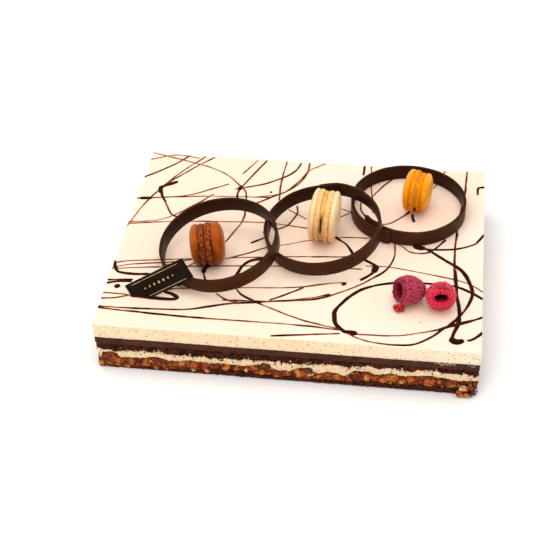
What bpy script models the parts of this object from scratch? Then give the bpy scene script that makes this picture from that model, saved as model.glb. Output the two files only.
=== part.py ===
# Opera cake: six layers cut to a rectangle, three leaning chocolate rings, a macaron
# standing on its edge in each ring, two hollow raspberries with a loose cluster of
# drupelets, a small chocolate plaque stuck in by one corner, and a clump of caramelised
# nuts that stands out of the praline at the foot of the front right corner.
# Units are metres, +Z is up, and the origin is the centre of the cake's underside.

import math

import bmesh
import bpy
from mathutils import Matrix, Vector

MM = 0.001
GAP = 0.3 * MM                     # clearance between pieces that touch

CAKE_LENGTH = 250 * MM             # along X
CAKE_DEPTH = 195 * MM              # along Y
EDGE_STEP = 18 * MM                # spacing of points along the cut sides
RIM = 11 * MM                      # width of the uneven border of each layer's faces
MOUSSE_ROUND = 0.9 * MM            # rounding of the top edge

# Bottom to top. Insets are left, right, front, back; slope is the rise of the boundary on
# top of the layer towards +X in millimetres per metre, and wave its unevenness.
LAYERS = [
    {"name": "base_biscuit", "height": 4.0, "inset": (0.8, 1.6, 0.5, 0.6), "slope": 17,
     "wave": 0.5, "color": (0.055, 0.024, 0.014), "roughness": 0.85},
    {"name": "praline_layer", "height": 6.0, "inset": (0.7, 0.7, 0.3, 0.4), "slope": 14,
     "wave": 0.75, "color": (0.36, 0.12, 0.035), "roughness": 0.45},
    {"name": "cream_layer", "height": 6.3, "inset": (1.8, 0.5, 0.4, 0.5), "slope": 15,
     "wave": 0.5, "color": (0.86, 0.66, 0.42), "roughness": 0.75},
    {"name": "chocolate_sponge", "height": 5.4, "inset": (0.4, 0.4, 0.2, 0.3), "slope": 4,
     "wave": 0.25, "color": (0.062, 0.018, 0.009), "roughness": 0.9},
    {"name": "ganache_layer", "height": 5.0, "inset": (0.2, 0.2, 0.1, 0.1), "slope": 5,
     "wave": 0.1, "color": (0.035, 0.018, 0.013), "roughness": 0.5},
    {"name": "vanilla_mousse", "height": 11.3, "inset": (0.0, 0.0, 0.0, 0.0), "slope": 0,
     "wave": 0.0, "color": (0.93, 0.84, 0.66), "roughness": 0.45},
]
CAKE_TOP = sum(layer["height"] for layer in LAYERS) * MM

RING_RADIUS = 39.5 * MM            # to the middle of the strip
RING_WALL = 2.0 * MM
RING_HEIGHT = 10.8 * MM
RING_STEPS = 70                    # stations round one turn
RING_EASE = 40                     # degrees over which an end of the strip steps in or out
# Centre on the cake, lean in degrees and the direction that is lifted, then the
# directions of the strip's inner and outer end, which lie over each other.
RINGS = [
    {"name": "ring_left", "at": (-52.4, -21.8), "lean": 9.7, "lifted": 42, "ends": (216, 236)},
    {"name": "ring_middle", "at": (15.2, 3.0), "lean": 8.9, "lifted": 40, "ends": (78, 98)},
    {"name": "ring_right", "at": (71.2, 44.5), "lean": 0.0, "lifted": 40, "ends": (217, 255)},
]

MACARON_SIDES = 28
DOME_ROWS = 6
DOME_FROM = 7                      # degrees up the dome of its first and last row
DOME_TO = 84
FOOT_ROWS = 3                      # rows of a shell, from its inner face, that are ruffled
RUFFLE = 0.012                     # depth of the ruffles over the radius
# The foot of a shell, as shares of its height and of the shell's radius.
FOOT_PROFILE = [(0.0, 0.90), (0.30, 0.985), (0.75, 0.975), (1.0, 0.94)]
DOME_FULLNESS = 0.75               # 1 is an ellipse, less is boxier
FILLING_SHARE = 0.90               # radius of the filling over that of the shells
# Centre on the cake, turn and tilt of the axis in degrees, then for the left and right
# half: radius, distance from the middle to the end of the foot, and to the crown. The
# filling reaches from the middle to the left and to the right.
MACARONS = [
    {"name": "macaron_brown", "at": (-61.9, -26.2), "turn": 10.6, "tilt": 4.0,
     "left": (14.3, 3.4, 10.6), "right": (14.8, 4.6, 13.0), "filling": (0.95, 0.95),
     "shell": (0.36, 0.095, 0.012), "cream": (0.10, 0.025, 0.01)},
    {"name": "macaron_cream", "at": (14.3, 9.0), "turn": -3.9, "tilt": -3.0,
     "left": (18.2, 3.5, 9.4), "right": (17.9, 5.8, 11.2), "filling": (1.1, 2.2),
     "shell": (0.87, 0.60, 0.27), "cream": (0.55, 0.20, 0.04)},
    {"name": "macaron_orange", "at": (77.9, 47.1), "turn": -11.4, "tilt": 0.8,
     "left": (15.2, 4.0, 10.3), "right": (13.9, 3.4, 8.6), "filling": (0.9, 0.9),
     "shell": (0.93, 0.30, 0.01), "cream": (0.70, 0.17, 0.01)},
]

BERRY_COLUMNS = 24                 # two for each drupelet round the berry
BERRY_ROWS = 14
ROW_SPREAD = 0.92                  # below 1 moves the rows of drupelets to the mouth
BERRY_BUMP = 0.45 * MM             # how far a drupelet stands out, and a dip goes in
BERRY_WIDEST = 0.62                # share of the length, from the tip, of the widest place
BERRY_HOLE_DEPTH = 0.62            # over the berry's length
BERRY_HOLE_ROUND = 0.8 * MM        # how far the hollow's end is domed
# The hollow's wall: millimetres in from the mouth, and share of the hollow's width.
BERRY_WALL = [(0.4, 1.22), (1.8, 1.0), (7.0, 0.85)]
# Centre on the cake, the way the hollow faces as direction and rise in degrees, half
# length and radius, how far the berry has sunk flat under its own weight, and half the
# hollow's width and height.
RASPBERRIES = [
    {"name": "raspberry_left", "at": (78.5, -53.0), "faces": 206, "rise": 15,
     "half": 10.5, "radius": 9.7, "squash": 0.98, "hole": (5.8, 5.8),
     "color": (0.30, 0.020, 0.062)},
    {"name": "raspberry_right", "at": (97.2, -54.9), "faces": 275, "rise": 28,
     "half": 9.6, "radius": 9.7, "squash": 0.92, "hole": (5.4, 3.5),
     "color": (0.62, 0.022, 0.075)},
]

# Lumps that make up the loose cluster of drupelets: place and radius.
CLUMP_SUBDIVISIONS = 3
CLUSTER_AT = (71.2, -63.0)
DRUPELETS = [
    (-2.6, 0.6, 1.7, 1.75), (-0.7, -2.0, 1.6, 1.75), (2.0, -1.5, 1.7, 1.7),
    (2.4, 0.7, 1.5, 1.5), (0.2, 0.4, 2.8, 1.7), (-1.2, 2.1, 1.4, 1.5),
]

# The clump of nuts against the front of the cake: its middle, then the place of each nut
# from there and its radius.
NUTS_AT = (117.0, -98.6, 5.0)
NUTS = [
    (-1.3, 1.0, 2.8, 2.9), (3.1, 1.1, 2.4, 2.7), (-3.2, 1.0, -1.4, 3.1),
    (0.9, 0.6, -2.3, 2.5), (3.5, 0.9, -2.0, 2.7),
]

PLAQUE_SIZE = (45.0 * MM, 15.2 * MM, 1.2 * MM)
PLAQUE_AT = (-86.6, -63.8, 11.1)   # its middle, the last from the cake's top
PLAQUE_TURN = 8.3                  # degrees: heading of its long edge
PLAQUE_RAISE = 29.6                # rise of its long edge
PLAQUE_RECLINE = 72.0              # lean of its face, where 90 is upright


def clear_scene():
    for obj in list(bpy.data.objects):
        bpy.data.objects.remove(obj, do_unlink=True)


def make_material(name, color, roughness):
    material = bpy.data.materials.new(name)
    material.use_nodes = True
    shader = material.node_tree.nodes["Principled BSDF"]
    shader.inputs["Base Color"].default_value = (*color, 1.0)
    shader.inputs["Roughness"].default_value = roughness
    shader.inputs["Metallic"].default_value = 0.0
    return material


def make_object(name, bm, material, smooth_angle=35):
    bmesh.ops.recalc_face_normals(bm, faces=bm.faces)
    mesh = bpy.data.meshes.new(name)
    bm.to_mesh(mesh)
    bm.free()
    mesh.shade_smooth()
    mesh.set_sharp_from_angle(angle=math.radians(smooth_angle))
    mesh.materials.append(material)
    obj = bpy.data.objects.new(name, mesh)
    bpy.context.scene.collection.objects.link(obj)
    return obj


def add_loop(bm, points):
    return [bm.verts.new(point) for point in points]


def bridge(bm, lower, upper):
    """Quads between two closed loops with the same number of points."""
    count = len(lower)
    for i in range(count):
        j = (i + 1) % count
        bm.faces.new((lower[i], lower[j], upper[j], upper[i]))


def cap(bm, loop, point):
    """A fan from a closed loop to one point."""
    tip = bm.verts.new(point)
    for i in range(len(loop)):
        bm.faces.new((loop[i], loop[(i + 1) % len(loop)], tip))


def rest_on_top(holder, pieces):
    """Moves the holder up or down until its pieces just clear the cake's top."""
    bpy.context.view_layer.update()
    lowest = min((piece.matrix_world @ vertex.co).z
                 for piece in pieces for vertex in piece.data.vertices)
    holder.location.z += CAKE_TOP + GAP - lowest
    bpy.context.view_layer.update()


# ---- the cake's layers

def border_points():
    """Points round the cake as shares of its length and depth, from -0.5 to 0.5."""
    across = round(CAKE_LENGTH / EDGE_STEP)
    along = round(CAKE_DEPTH / EDGE_STEP)
    points = [(i / across - 0.5, -0.5) for i in range(across)]
    points += [(0.5, i / along - 0.5) for i in range(along)]
    points += [(0.5 - i / across, 0.5) for i in range(across)]
    points += [(-0.5, 0.5 - i / along) for i in range(along)]
    return points


def unevenness(level, share):
    """Height of a boundary above its nominal one, where share runs 0 to 1 round it."""
    turn = 2 * math.pi * share
    return (0.5 * math.sin(4 * turn + 1.7 * level)
            + 0.3 * math.sin(9 * turn + 2.9 * level)
            + 0.2 * math.sin(14 * turn + 0.8 * level))


def layer_loop(inset, height, shrink, level=-1, waved=False):
    """A loop at a layer's edge, with the slope and the wave of the boundary at a level."""
    left, right, front, back = (side * MM + shrink for side in inset)
    width = CAKE_LENGTH - left - right
    depth = CAKE_DEPTH - front - back
    middle = ((left - right) / 2, (front - back) / 2)
    slope = LAYERS[level]["slope"] * MM if level >= 0 else 0.0
    wave = LAYERS[level]["wave"] * MM if waved else 0.0
    border = border_points()
    points = []
    for i, (u, v) in enumerate(border):
        x = middle[0] + u * width
        z = height + slope * x + wave * unevenness(level, i / len(border))
        points.append((x, middle[1] + v * depth, z))
    return points


def build_layers():
    floor = 0.0
    for level, layer in enumerate(LAYERS):
        ceiling = floor + layer["height"] * MM
        inset = layer["inset"]
        below = level - 1
        low = floor if level == 0 else floor + GAP / 2
        loops = [layer_loop(inset, low, RIM, below), layer_loop(inset, low, 0.0, below, level > 0)]
        if layer is LAYERS[-1]:
            for down, shrink in ((1.0, 0.0), (0.3, 0.3), (0.0, 1.0)):
                loops.append(layer_loop(inset, ceiling - down * MOUSSE_ROUND, shrink * MOUSSE_ROUND))
        else:
            loops.append(layer_loop(inset, ceiling - GAP / 2, 0.0, level, True))
            loops.append(layer_loop(inset, ceiling - GAP / 2, RIM, level))
        bm = bmesh.new()
        verts = [add_loop(bm, loop) for loop in loops]
        for lower, upper in zip(verts, verts[1:]):
            bridge(bm, lower, upper)
        bm.faces.new(verts[0])
        bm.faces.new(verts[-1])
        material = make_material(layer["name"], layer["color"], layer["roughness"])
        make_object(layer["name"], bm, material, smooth_angle=50)
        floor = ceiling


# ---- the chocolate rings

def ease(share):
    return share * share * (3 - 2 * share)


def strip_radius(angle, start, end):
    """Radius of the strip's middle: stepped in at its first end and out at its last."""
    step = (RING_WALL + GAP) / 2
    overlap = end - start - 360
    from_start = max(0.0, angle - start - overlap)
    to_end = max(0.0, end - overlap - angle)
    inward = max(0.0, 1 - from_start / RING_EASE)
    outward = max(0.0, 1 - to_end / RING_EASE)
    return RING_RADIUS - step * ease(inward) + step * ease(outward)


def build_ring(ring, material):
    start, end = ring["ends"][0], ring["ends"][1] + 360
    steps = round(RING_STEPS * (end - start) / 360)
    half = RING_WALL / 2
    bm = bmesh.new()
    stations = []
    for i in range(steps + 1):
        angle = start + (end - start) * i / steps
        radius = strip_radius(angle, start, end)
        direction = Vector((math.cos(math.radians(angle)), math.sin(math.radians(angle)), 0))
        corners = ((-half, 0), (half, 0), (half, RING_HEIGHT), (-half, RING_HEIGHT))
        stations.append(add_loop(bm, [direction * (radius + r) + Vector((0, 0, z))
                                      for r, z in corners]))
    for first, second in zip(stations, stations[1:]):
        bridge(bm, first, second)
    bm.faces.new(stations[0])
    bm.faces.new(stations[-1])
    obj = make_object(ring["name"], bm, material)
    lifted = math.radians(ring["lifted"])
    axis = Vector((math.sin(lifted), -math.cos(lifted), 0))
    place = Matrix.Translation((ring["at"][0] * MM, ring["at"][1] * MM, 0))
    obj.matrix_world = place @ Matrix.Rotation(math.radians(ring["lean"]), 4, axis)
    rest_on_top(obj, [obj])


# ---- the macarons, built along +X and -X from the middle of the filling

def turned(bm, profile, ruffled_rows):
    """A solid turned round X from points (along, radius), both ends on the axis."""
    loops = []
    for row, (along, radius) in enumerate(profile[1:-1]):
        loop = []
        for i in range(MACARON_SIDES):
            angle = 2 * math.pi * i / MACARON_SIDES
            ruffle = RUFFLE * math.sin(2.3 * i) if row < ruffled_rows else 0.0
            reach = radius * (1 + ruffle)
            loop.append((along, reach * math.cos(angle), reach * math.sin(angle)))
        loops.append(add_loop(bm, loop))
    for first, second in zip(loops, loops[1:]):
        bridge(bm, first, second)
    cap(bm, loops[0], (profile[0][0], 0, 0))
    cap(bm, loops[-1], (profile[-1][0], 0, 0))


def shell_profile(radius, foot_end, crown, inner):
    """From the flat inner face over the ruffled foot and the smooth dome to the crown."""
    foot = foot_end - inner
    profile = [(inner, 0)]
    for height, width in FOOT_PROFILE:
        profile.append((inner + height * foot, width * radius))
    for i in range(DOME_ROWS):
        turn = math.radians(DOME_FROM + (DOME_TO - DOME_FROM) * i / (DOME_ROWS - 1))
        along = foot_end + (crown - foot_end) * math.sin(turn)
        profile.append((along, radius * math.cos(turn) ** DOME_FULLNESS))
    profile.append((crown, 0))
    return profile


def build_macaron(macaron):
    name = macaron["name"]
    holder = bpy.data.objects.new(name + "_holder", None)
    bpy.context.scene.collection.objects.link(holder)
    shell_material = make_material(name + "_shell", macaron["shell"], 0.55)
    cream_material = make_material(name + "_filling", macaron["cream"], 0.6)
    clear = GAP / MM / 2
    pieces = []
    for side, sign, reach in zip(("left", "right"), (-1, 1), macaron["filling"]):
        radius, foot_end, crown = macaron[side]
        profile = shell_profile(radius, foot_end, crown, reach + clear)
        bm = bmesh.new()
        turned(bm, profile, FOOT_ROWS)
        bmesh.ops.transform(bm, matrix=Matrix.Diagonal((sign * MM, MM, MM, 1)), verts=bm.verts)
        pieces.append(make_object(f"{name}_{side}_shell", bm, shell_material))
    radius = FILLING_SHARE * min(macaron["left"][0], macaron["right"][0])
    first, last = clear - macaron["filling"][0], macaron["filling"][1] - clear
    middle = (first + last) / 2
    flank = 0.97 * radius
    profile = [(first, 0), (first, flank), (middle, radius), (last, flank), (last, 0)]
    bm = bmesh.new()
    turned(bm, profile, FOOT_ROWS)
    bmesh.ops.transform(bm, matrix=Matrix.Scale(MM, 4), verts=bm.verts)
    pieces.append(make_object(name + "_filling", bm, cream_material))
    for piece in pieces:
        piece.parent = holder
    turn = Matrix.Rotation(math.radians(macaron["turn"]), 4, "Z")
    tilt = Matrix.Rotation(-math.radians(macaron["tilt"]), 4, "Y")
    place = Matrix.Translation((macaron["at"][0] * MM, macaron["at"][1] * MM, 0))
    holder.matrix_world = place @ turn @ tilt
    rest_on_top(holder, pieces)


# ---- the raspberries, built along +X with the hollow's mouth at the +X end

def berry_radius(share):
    """Outer radius over its largest, from the rounded tip at 0 to the mouth's lip at 1."""
    if share < BERRY_WIDEST:
        return math.sin(math.pi / 2 * share / BERRY_WIDEST) ** 0.62
    past = (share - BERRY_WIDEST) / (1 - BERRY_WIDEST)
    return 1 - 0.22 * past ** 2.2


def bridge_bumps(bm, lower, upper, row):
    """Triangles between two rows of a berry, folded along the dips between drupelets."""
    for i in range(BERRY_COLUMNS):
        j = (i + 1) % BERRY_COLUMNS
        if is_bump(row, i):
            bm.faces.new((lower[i], lower[j], upper[i]))
            bm.faces.new((lower[j], upper[j], upper[i]))
        else:
            bm.faces.new((lower[i], lower[j], upper[j]))
            bm.faces.new((lower[i], upper[j], upper[i]))


def is_bump(row, column):
    return (row + column) % 2 == 0


def build_raspberry(berry):
    half = berry["half"] * MM
    radius = berry["radius"] * MM
    bm = bmesh.new()
    loops = []
    for row in range(1, BERRY_ROWS + 1):
        share = 0.5 * (1 - math.cos(math.pi * (row / (BERRY_ROWS + 1)) ** ROW_SPREAD))
        along = half * (2 * share - 1)
        loop = []
        for i in range(BERRY_COLUMNS):
            angle = 2 * math.pi * i / BERRY_COLUMNS
            bump = BERRY_BUMP if is_bump(row, i) else -BERRY_BUMP
            reach = radius * berry_radius(share) + bump * min(1.0, 2.5 * share)
            loop.append((along, reach * math.cos(angle), reach * math.sin(angle)))
        loops.append(add_loop(bm, loop))
    depth = 2 * half * BERRY_HOLE_DEPTH
    wide, high = (side * MM for side in berry["hole"])
    wall = [(inward * MM, share) for inward, share in BERRY_WALL] + [(depth, 0.45)]
    for inward, share in wall:
        loop = []
        for i in range(BERRY_COLUMNS):
            angle = 2 * math.pi * i / BERRY_COLUMNS
            across = wide * share * math.cos(angle)
            loop.append((half - inward, across, high * share * math.sin(angle)))
        loops.append(add_loop(bm, loop))
    for row in range(1, BERRY_ROWS):
        bridge_bumps(bm, loops[row - 1], loops[row], row)
    for first, second in zip(loops[BERRY_ROWS - 1:], loops[BERRY_ROWS:]):
        bridge(bm, first, second)
    cap(bm, loops[0], (-half, 0, 0))
    cap(bm, loops[-1], (half - depth - BERRY_HOLE_ROUND, 0, 0))
    turn = Matrix.Rotation(math.radians(berry["faces"]), 4, "Z")
    rise = Matrix.Rotation(-math.radians(berry["rise"]), 4, "Y")
    squash = Matrix.Diagonal((1, 1, berry["squash"], 1))
    bmesh.ops.transform(bm, matrix=squash @ turn @ rise, verts=bm.verts)
    obj = make_object(berry["name"], bm, make_material(berry["name"], berry["color"], 0.5))
    obj.location = (berry["at"][0] * MM, berry["at"][1] * MM, 0)
    rest_on_top(obj, [obj])


# ---- clumps of small things, each one solid out to its uneven outline

def clump_reach(lumps, middle, direction):
    """Distance from the middle, along a direction, to where the last lump ends."""
    reach = 0.0
    for x, y, z, radius in lumps:
        offset = Vector((x, y, z)) - middle
        along = offset.dot(direction)
        aside = offset.length_squared - along * along
        if aside < radius * radius:
            reach = max(reach, along + math.sqrt(radius * radius - aside))
    return reach


def build_clump(name, lumps, middle, material, back=1.0, floor=1.0):
    """A closed body round the lumps, cut off flat at a distance behind and below."""
    bm = bmesh.new()
    bmesh.ops.create_icosphere(bm, subdivisions=CLUMP_SUBDIVISIONS, radius=1.0)
    for vertex in bm.verts:
        direction = vertex.co.normalized()
        reach = clump_reach(lumps, middle, direction) * MM
        if direction.y > 0:
            reach = min(reach, back / direction.y)
        if direction.z < 0:
            reach = min(reach, -floor / direction.z)
        vertex.co = middle * MM + direction * reach
    return make_object(name, bm, material)


def build_clumps():
    red = make_material("raspberry_cluster", (0.45, 0.008, 0.015), 0.35)
    drupelets = build_clump("raspberry_cluster", DRUPELETS, Vector((0, 0, 1.7)), red)
    drupelets.location = (CLUSTER_AT[0] * MM, CLUSTER_AT[1] * MM, 0)
    rest_on_top(drupelets, [drupelets])
    brown = make_material("nut_clump", (0.40, 0.15, 0.045), 0.4)
    back = -CAKE_DEPTH / 2 - GAP - NUTS_AT[1] * MM
    floor = NUTS_AT[2] * MM - GAP / 2
    nuts = build_clump("nut_clump", NUTS, Vector((0, 0, 0)), brown, back, floor)
    nuts.location = Vector(NUTS_AT) * MM


def build_plaque():
    bm = bmesh.new()
    bmesh.ops.create_cube(bm, size=1.0)
    bmesh.ops.transform(bm, matrix=Matrix.Diagonal((*PLAQUE_SIZE, 1)), verts=bm.verts)
    height = CAKE_TOP + PLAQUE_AT[2] * MM
    place = Matrix.Translation((PLAQUE_AT[0] * MM, PLAQUE_AT[1] * MM, height))
    turn = Matrix.Rotation(math.radians(PLAQUE_TURN), 4, "Z")
    lift = Matrix.Rotation(-math.radians(PLAQUE_RAISE), 4, "Y")
    recline = Matrix.Rotation(math.radians(PLAQUE_RECLINE), 4, "X")
    bmesh.ops.transform(bm, matrix=place @ turn @ lift @ recline, verts=bm.verts)
    # The corner that is sunk in the cake is cut off just above the cake's top.
    everything = bm.verts[:] + bm.edges[:] + bm.faces[:]
    bmesh.ops.bisect_plane(bm, geom=everything, plane_co=(0, 0, CAKE_TOP + GAP),
                           plane_no=(0, 0, 1), clear_inner=True)
    bmesh.ops.holes_fill(bm, edges=bm.edges)
    make_object("plaque", bm, make_material("plaque", (0.012, 0.008, 0.007), 0.4))


def main():
    clear_scene()
    build_layers()
    chocolate = make_material("ring_chocolate", (0.060, 0.025, 0.015), 0.42)
    for ring in RINGS:
        build_ring(ring, chocolate)
    for macaron in MACARONS:
        build_macaron(macaron)
    for berry in RASPBERRIES:
        build_raspberry(berry)
    build_clumps()
    build_plaque()


main()
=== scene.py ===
import math
import random

import bmesh
import bpy
import numpy as np
from mathutils import Matrix, Vector


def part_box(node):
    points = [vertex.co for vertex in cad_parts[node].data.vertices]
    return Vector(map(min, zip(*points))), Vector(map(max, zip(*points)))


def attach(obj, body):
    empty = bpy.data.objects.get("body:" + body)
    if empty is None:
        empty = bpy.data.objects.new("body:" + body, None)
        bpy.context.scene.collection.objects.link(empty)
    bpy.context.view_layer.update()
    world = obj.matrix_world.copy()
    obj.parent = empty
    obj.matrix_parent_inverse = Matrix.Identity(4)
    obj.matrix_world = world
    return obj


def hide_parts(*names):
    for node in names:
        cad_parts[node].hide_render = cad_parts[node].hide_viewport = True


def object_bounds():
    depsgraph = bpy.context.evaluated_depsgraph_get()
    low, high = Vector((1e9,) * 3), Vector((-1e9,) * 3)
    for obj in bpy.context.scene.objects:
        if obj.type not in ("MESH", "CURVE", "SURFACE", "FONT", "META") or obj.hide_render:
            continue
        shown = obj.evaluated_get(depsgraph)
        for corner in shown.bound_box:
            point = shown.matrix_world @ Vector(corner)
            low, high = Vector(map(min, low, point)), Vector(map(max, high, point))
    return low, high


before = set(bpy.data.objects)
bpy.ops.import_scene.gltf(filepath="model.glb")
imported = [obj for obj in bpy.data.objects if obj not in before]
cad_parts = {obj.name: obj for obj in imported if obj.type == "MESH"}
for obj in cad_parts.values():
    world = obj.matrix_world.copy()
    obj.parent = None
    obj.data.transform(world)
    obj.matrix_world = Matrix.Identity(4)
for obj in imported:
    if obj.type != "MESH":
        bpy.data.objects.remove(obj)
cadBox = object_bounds()

mm = 0.001
scene = bpy.context.scene


# helpers for meshes

def smoothStep(t):
    return t * t * (3 - 2 * t)


def scatter(at, seed):
    # a fixed value from -1 to 1 for each whole-numbered place
    mixed = at[:, 0] * 73856093 ^ at[:, 1] * 19349663 ^ at[:, 2] * 83492791 ^ (seed + 11) * 2654435761
    mixed = (mixed ^ (mixed >> 13)) * 1274126177 & 0xFFFFFFFF
    return ((mixed ^ (mixed >> 16)) & 0xFFFF) / 32767.5 - 1


def softNoise(points, size, seed=0):
    # smooth values from -1 to 1 at points in metres, with lumps about size across
    place = np.asarray(points, float).reshape(-1, 3) / size + 1000.0
    cell = np.floor(place).astype(np.int64)
    t = smoothStep(place - cell)
    total = np.zeros(len(place))
    for corner in range(8):
        step = np.array([corner & 1, corner >> 1 & 1, corner >> 2 & 1])
        total += np.prod(np.where(step, t, 1 - t), axis=1) * scatter(cell + step, seed)
    return total


def chunks(points, size, seed=0):
    # scattered chunks about size across: distance to the nearest centre, how much farther the
    # next one is, both over size, and a value from 0 to 1 for each chunk
    place = np.asarray(points, float).reshape(-1, 3) / size + 1000.0
    cell = np.floor(place).astype(np.int64)
    near = np.full(len(place), 9.0)
    second = np.full(len(place), 9.0)
    own = np.zeros(len(place))
    for number in range(27):
        at = cell + np.array([number % 3 - 1, number // 3 % 3 - 1, number // 9 - 1])
        spot = at + 0.5 + 0.42 * np.stack([scatter(at, seed + k) for k in range(3)], axis=1)
        away = np.linalg.norm(place - spot, axis=1)
        closer = away < near
        second = np.where(closer, near, np.minimum(second, away))
        own = np.where(closer, scatter(at, seed + 7) * 0.5 + 0.5, own)
        near = np.where(closer, away, near)
    return near, second - near, own


def layeredNoise(points, size, seed=0, fine=0.5):
    return (softNoise(points, size, seed) + fine * softNoise(points, size * 0.45, seed + 1)
            + fine * fine * softNoise(points, size * 0.2, seed + 2)) / (1 + fine + fine * fine)


def ringFaces(rows, columns, closed=True):
    # quads of a grid whose columns run round a loop
    faces = []
    span = columns if closed else columns - 1
    for row in range(rows - 1):
        for i in range(span):
            j = (i + 1) % columns
            faces.append((row * columns + i, row * columns + j,
                          (row + 1) * columns + j, (row + 1) * columns + i))
    return faces


def tubeFaces(rows, columns):
    # ringFaces with one face over each end
    faces = ringFaces(rows, columns)
    faces.append(tuple(range(columns))[::-1])
    faces.append(tuple(range((rows - 1) * columns, rows * columns)))
    return faces


def fannedFaces(rows, columns):
    # ringFaces with fans round two more points, the middles of its first and last end
    faces = ringFaces(rows, columns)
    last, middle = (rows - 1) * columns, rows * columns
    for i in range(columns):
        j = (i + 1) % columns
        faces.append((middle, j, i))
        faces.append((last + i, last + j, middle + 1))
    return faces


def unit(vector):
    return vector / np.linalg.norm(vector)


def aimed(degrees):
    return math.cos(math.radians(degrees)), math.sin(math.radians(degrees))


def runOf(points):
    # how far along a line each of its points lies
    return np.r_[0, np.cumsum(np.linalg.norm(np.diff(points, axis=0), axis=1))]


def pointsAt(points, run, at):
    return np.stack([np.interp(at, run, points[:, k]) for k in range(points.shape[1])], axis=-1)


def circle(sides):
    turn = np.linspace(0, 2 * math.pi, sides, endpoint=False)
    return turn, np.c_[np.cos(turn), np.sin(turn)]


def boxOf(name):
    # the lowest and highest corner of a node's box, in millimetres
    return [np.array(corner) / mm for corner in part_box(name)]


def spun(degrees, axis):
    return Matrix.Rotation(math.radians(degrees), 4, axis)


def moved(points, matrix):
    # millimetres of a part's own space placed in the scene's metres
    place = np.array(matrix)
    return points * mm @ place[:3, :3].T + place[:3, 3]


def makePiece(name, points, faces, material, replaced=(), values=None, flat=False):
    mesh = bpy.data.meshes.new(name)
    mesh.from_pydata(np.asarray(points, float).tolist(), [], faces)
    for key, data in (values or {}).items():
        data = np.asarray(data, np.float32)
        if data.ndim == 1:
            layer = mesh.attributes.new(key, "FLOAT", "POINT")
            layer.data.foreach_set("value", data)
        else:
            layer = mesh.attributes.new(key, "FLOAT_COLOR", "POINT")
            layer.data.foreach_set("color", np.c_[data, np.ones(len(data))].astype(np.float32).ravel())
    mesh.validate()
    if not flat:
        mesh.shade_smooth()
    mesh.materials.append(material)
    piece = bpy.data.objects.new(name, mesh)
    scene.collection.objects.link(piece)
    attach(piece, "root")
    if replaced:
        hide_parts(*replaced)
    return piece


def orientOut(points, faces):
    # turns every face outwards on closed bodies made face by face
    made = bmesh.new()
    verts = [made.verts.new(p) for p in points]
    for face in faces:
        made.faces.new([verts[i] for i in face])
    bmesh.ops.recalc_face_normals(made, faces=made.faces)
    return taken(made)[1]


def joinParts(parts):
    # parts are (points, faces, {name: values}); gives one set of all three
    points, faces, values = [], [], {}
    start = 0
    for partPoints, partFaces, partValues in parts:
        points.append(np.asarray(partPoints, float))
        faces += [tuple(i + start for i in face) for face in partFaces]
        for key, data in partValues.items():
            values.setdefault(key, []).append(np.asarray(data, float))
        start += len(partPoints)
    return np.concatenate(points), faces, {key: np.concatenate(data) for key, data in values.items()}


def taken(made):
    # the points and faces of a bmesh, which is freed
    made.verts.index_update()
    points = np.array([v.co[:] for v in made.verts])
    faces = [tuple(v.index for v in face.verts) for face in made.faces]
    made.free()
    return points, faces


def makeJoined(name, parts, material, replaced=()):
    # one piece of many parts, whose points are in millimetres
    points, faces, values = joinParts(parts)
    return makePiece(name, points * mm, faces, material, replaced, values)


def ordered(points, faces):
    # the same mesh with its points, its faces and where each face starts in a fixed order
    order = np.lexsort(points.T)
    place = np.argsort(order).tolist()
    turned = []
    for face in faces:
        face = [place[i] for i in face]
        first = face.index(min(face))
        turned.append(tuple(face[first:] + face[:first]))
    return points[order], sorted(turned)


def ballShape(subdivisions):
    ball = bmesh.new()
    bmesh.ops.create_icosphere(ball, subdivisions=subdivisions, radius=1.0)
    return taken(ball)


def curveThrough(points, spacing):
    # points evenly spaced along a smooth curve through the given ones
    knots = [np.array(p, float) for p in points]
    ends = [2 * knots[0] - knots[1]] + knots + [2 * knots[-1] - knots[-2]]
    dense = []
    for a, b, c, d in zip(ends, ends[1:], ends[2:], ends[3:]):
        count = max(2, int(np.linalg.norm(c - b) / spacing * 2))
        for t in np.arange(count) / count:
            dense.append(0.5 * (2 * b + (c - a) * t + (2 * a - 5 * b + 4 * c - d) * t * t
                                + (3 * b - a - 3 * c + d) * t ** 3))
    dense.append(knots[-1])
    run = runOf(dense)
    even = np.linspace(0, run[-1], max(3, int(run[-1] / spacing) + 1))
    return pointsAt(np.array(dense), run, even)


# helpers for materials

def srgb(red, green, blue):
    return tuple(((c / 255 + 0.055) / 1.055) ** 2.4 if c > 10 else c / 255 / 12.92
                 for c in (red, green, blue)) + (1.0,)


def addNode(tree, kind, **settings):
    made = tree.nodes.new(kind)
    for key, value in settings.items():
        setattr(made, key, value)
    return made


def mathNode(tree, operation, second=0.5):
    made = addNode(tree, "ShaderNodeMath", operation=operation)
    made.inputs[1].default_value = second
    return made


def newGroup(name, inputs, outputs):
    group = bpy.data.node_groups.new(name, "ShaderNodeTree")
    for label, kind, start in inputs:
        socket = group.interface.new_socket(label, in_out="INPUT", socket_type=kind)
        if start is not None:
            socket.default_value = start
    for label, kind in outputs:
        group.interface.new_socket(label, in_out="OUTPUT", socket_type=kind)
    return group, addNode(group, "NodeGroupInput"), addNode(group, "NodeGroupOutput")


def connect(group, wires):
    # wires are (node, output, node, input)
    for source, output, target, entry in wires:
        group.links.new(source.outputs[output], target.inputs[entry])


number, colour, direction = "NodeSocketFloat", "NodeSocketColor", "NodeSocketVector"


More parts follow.
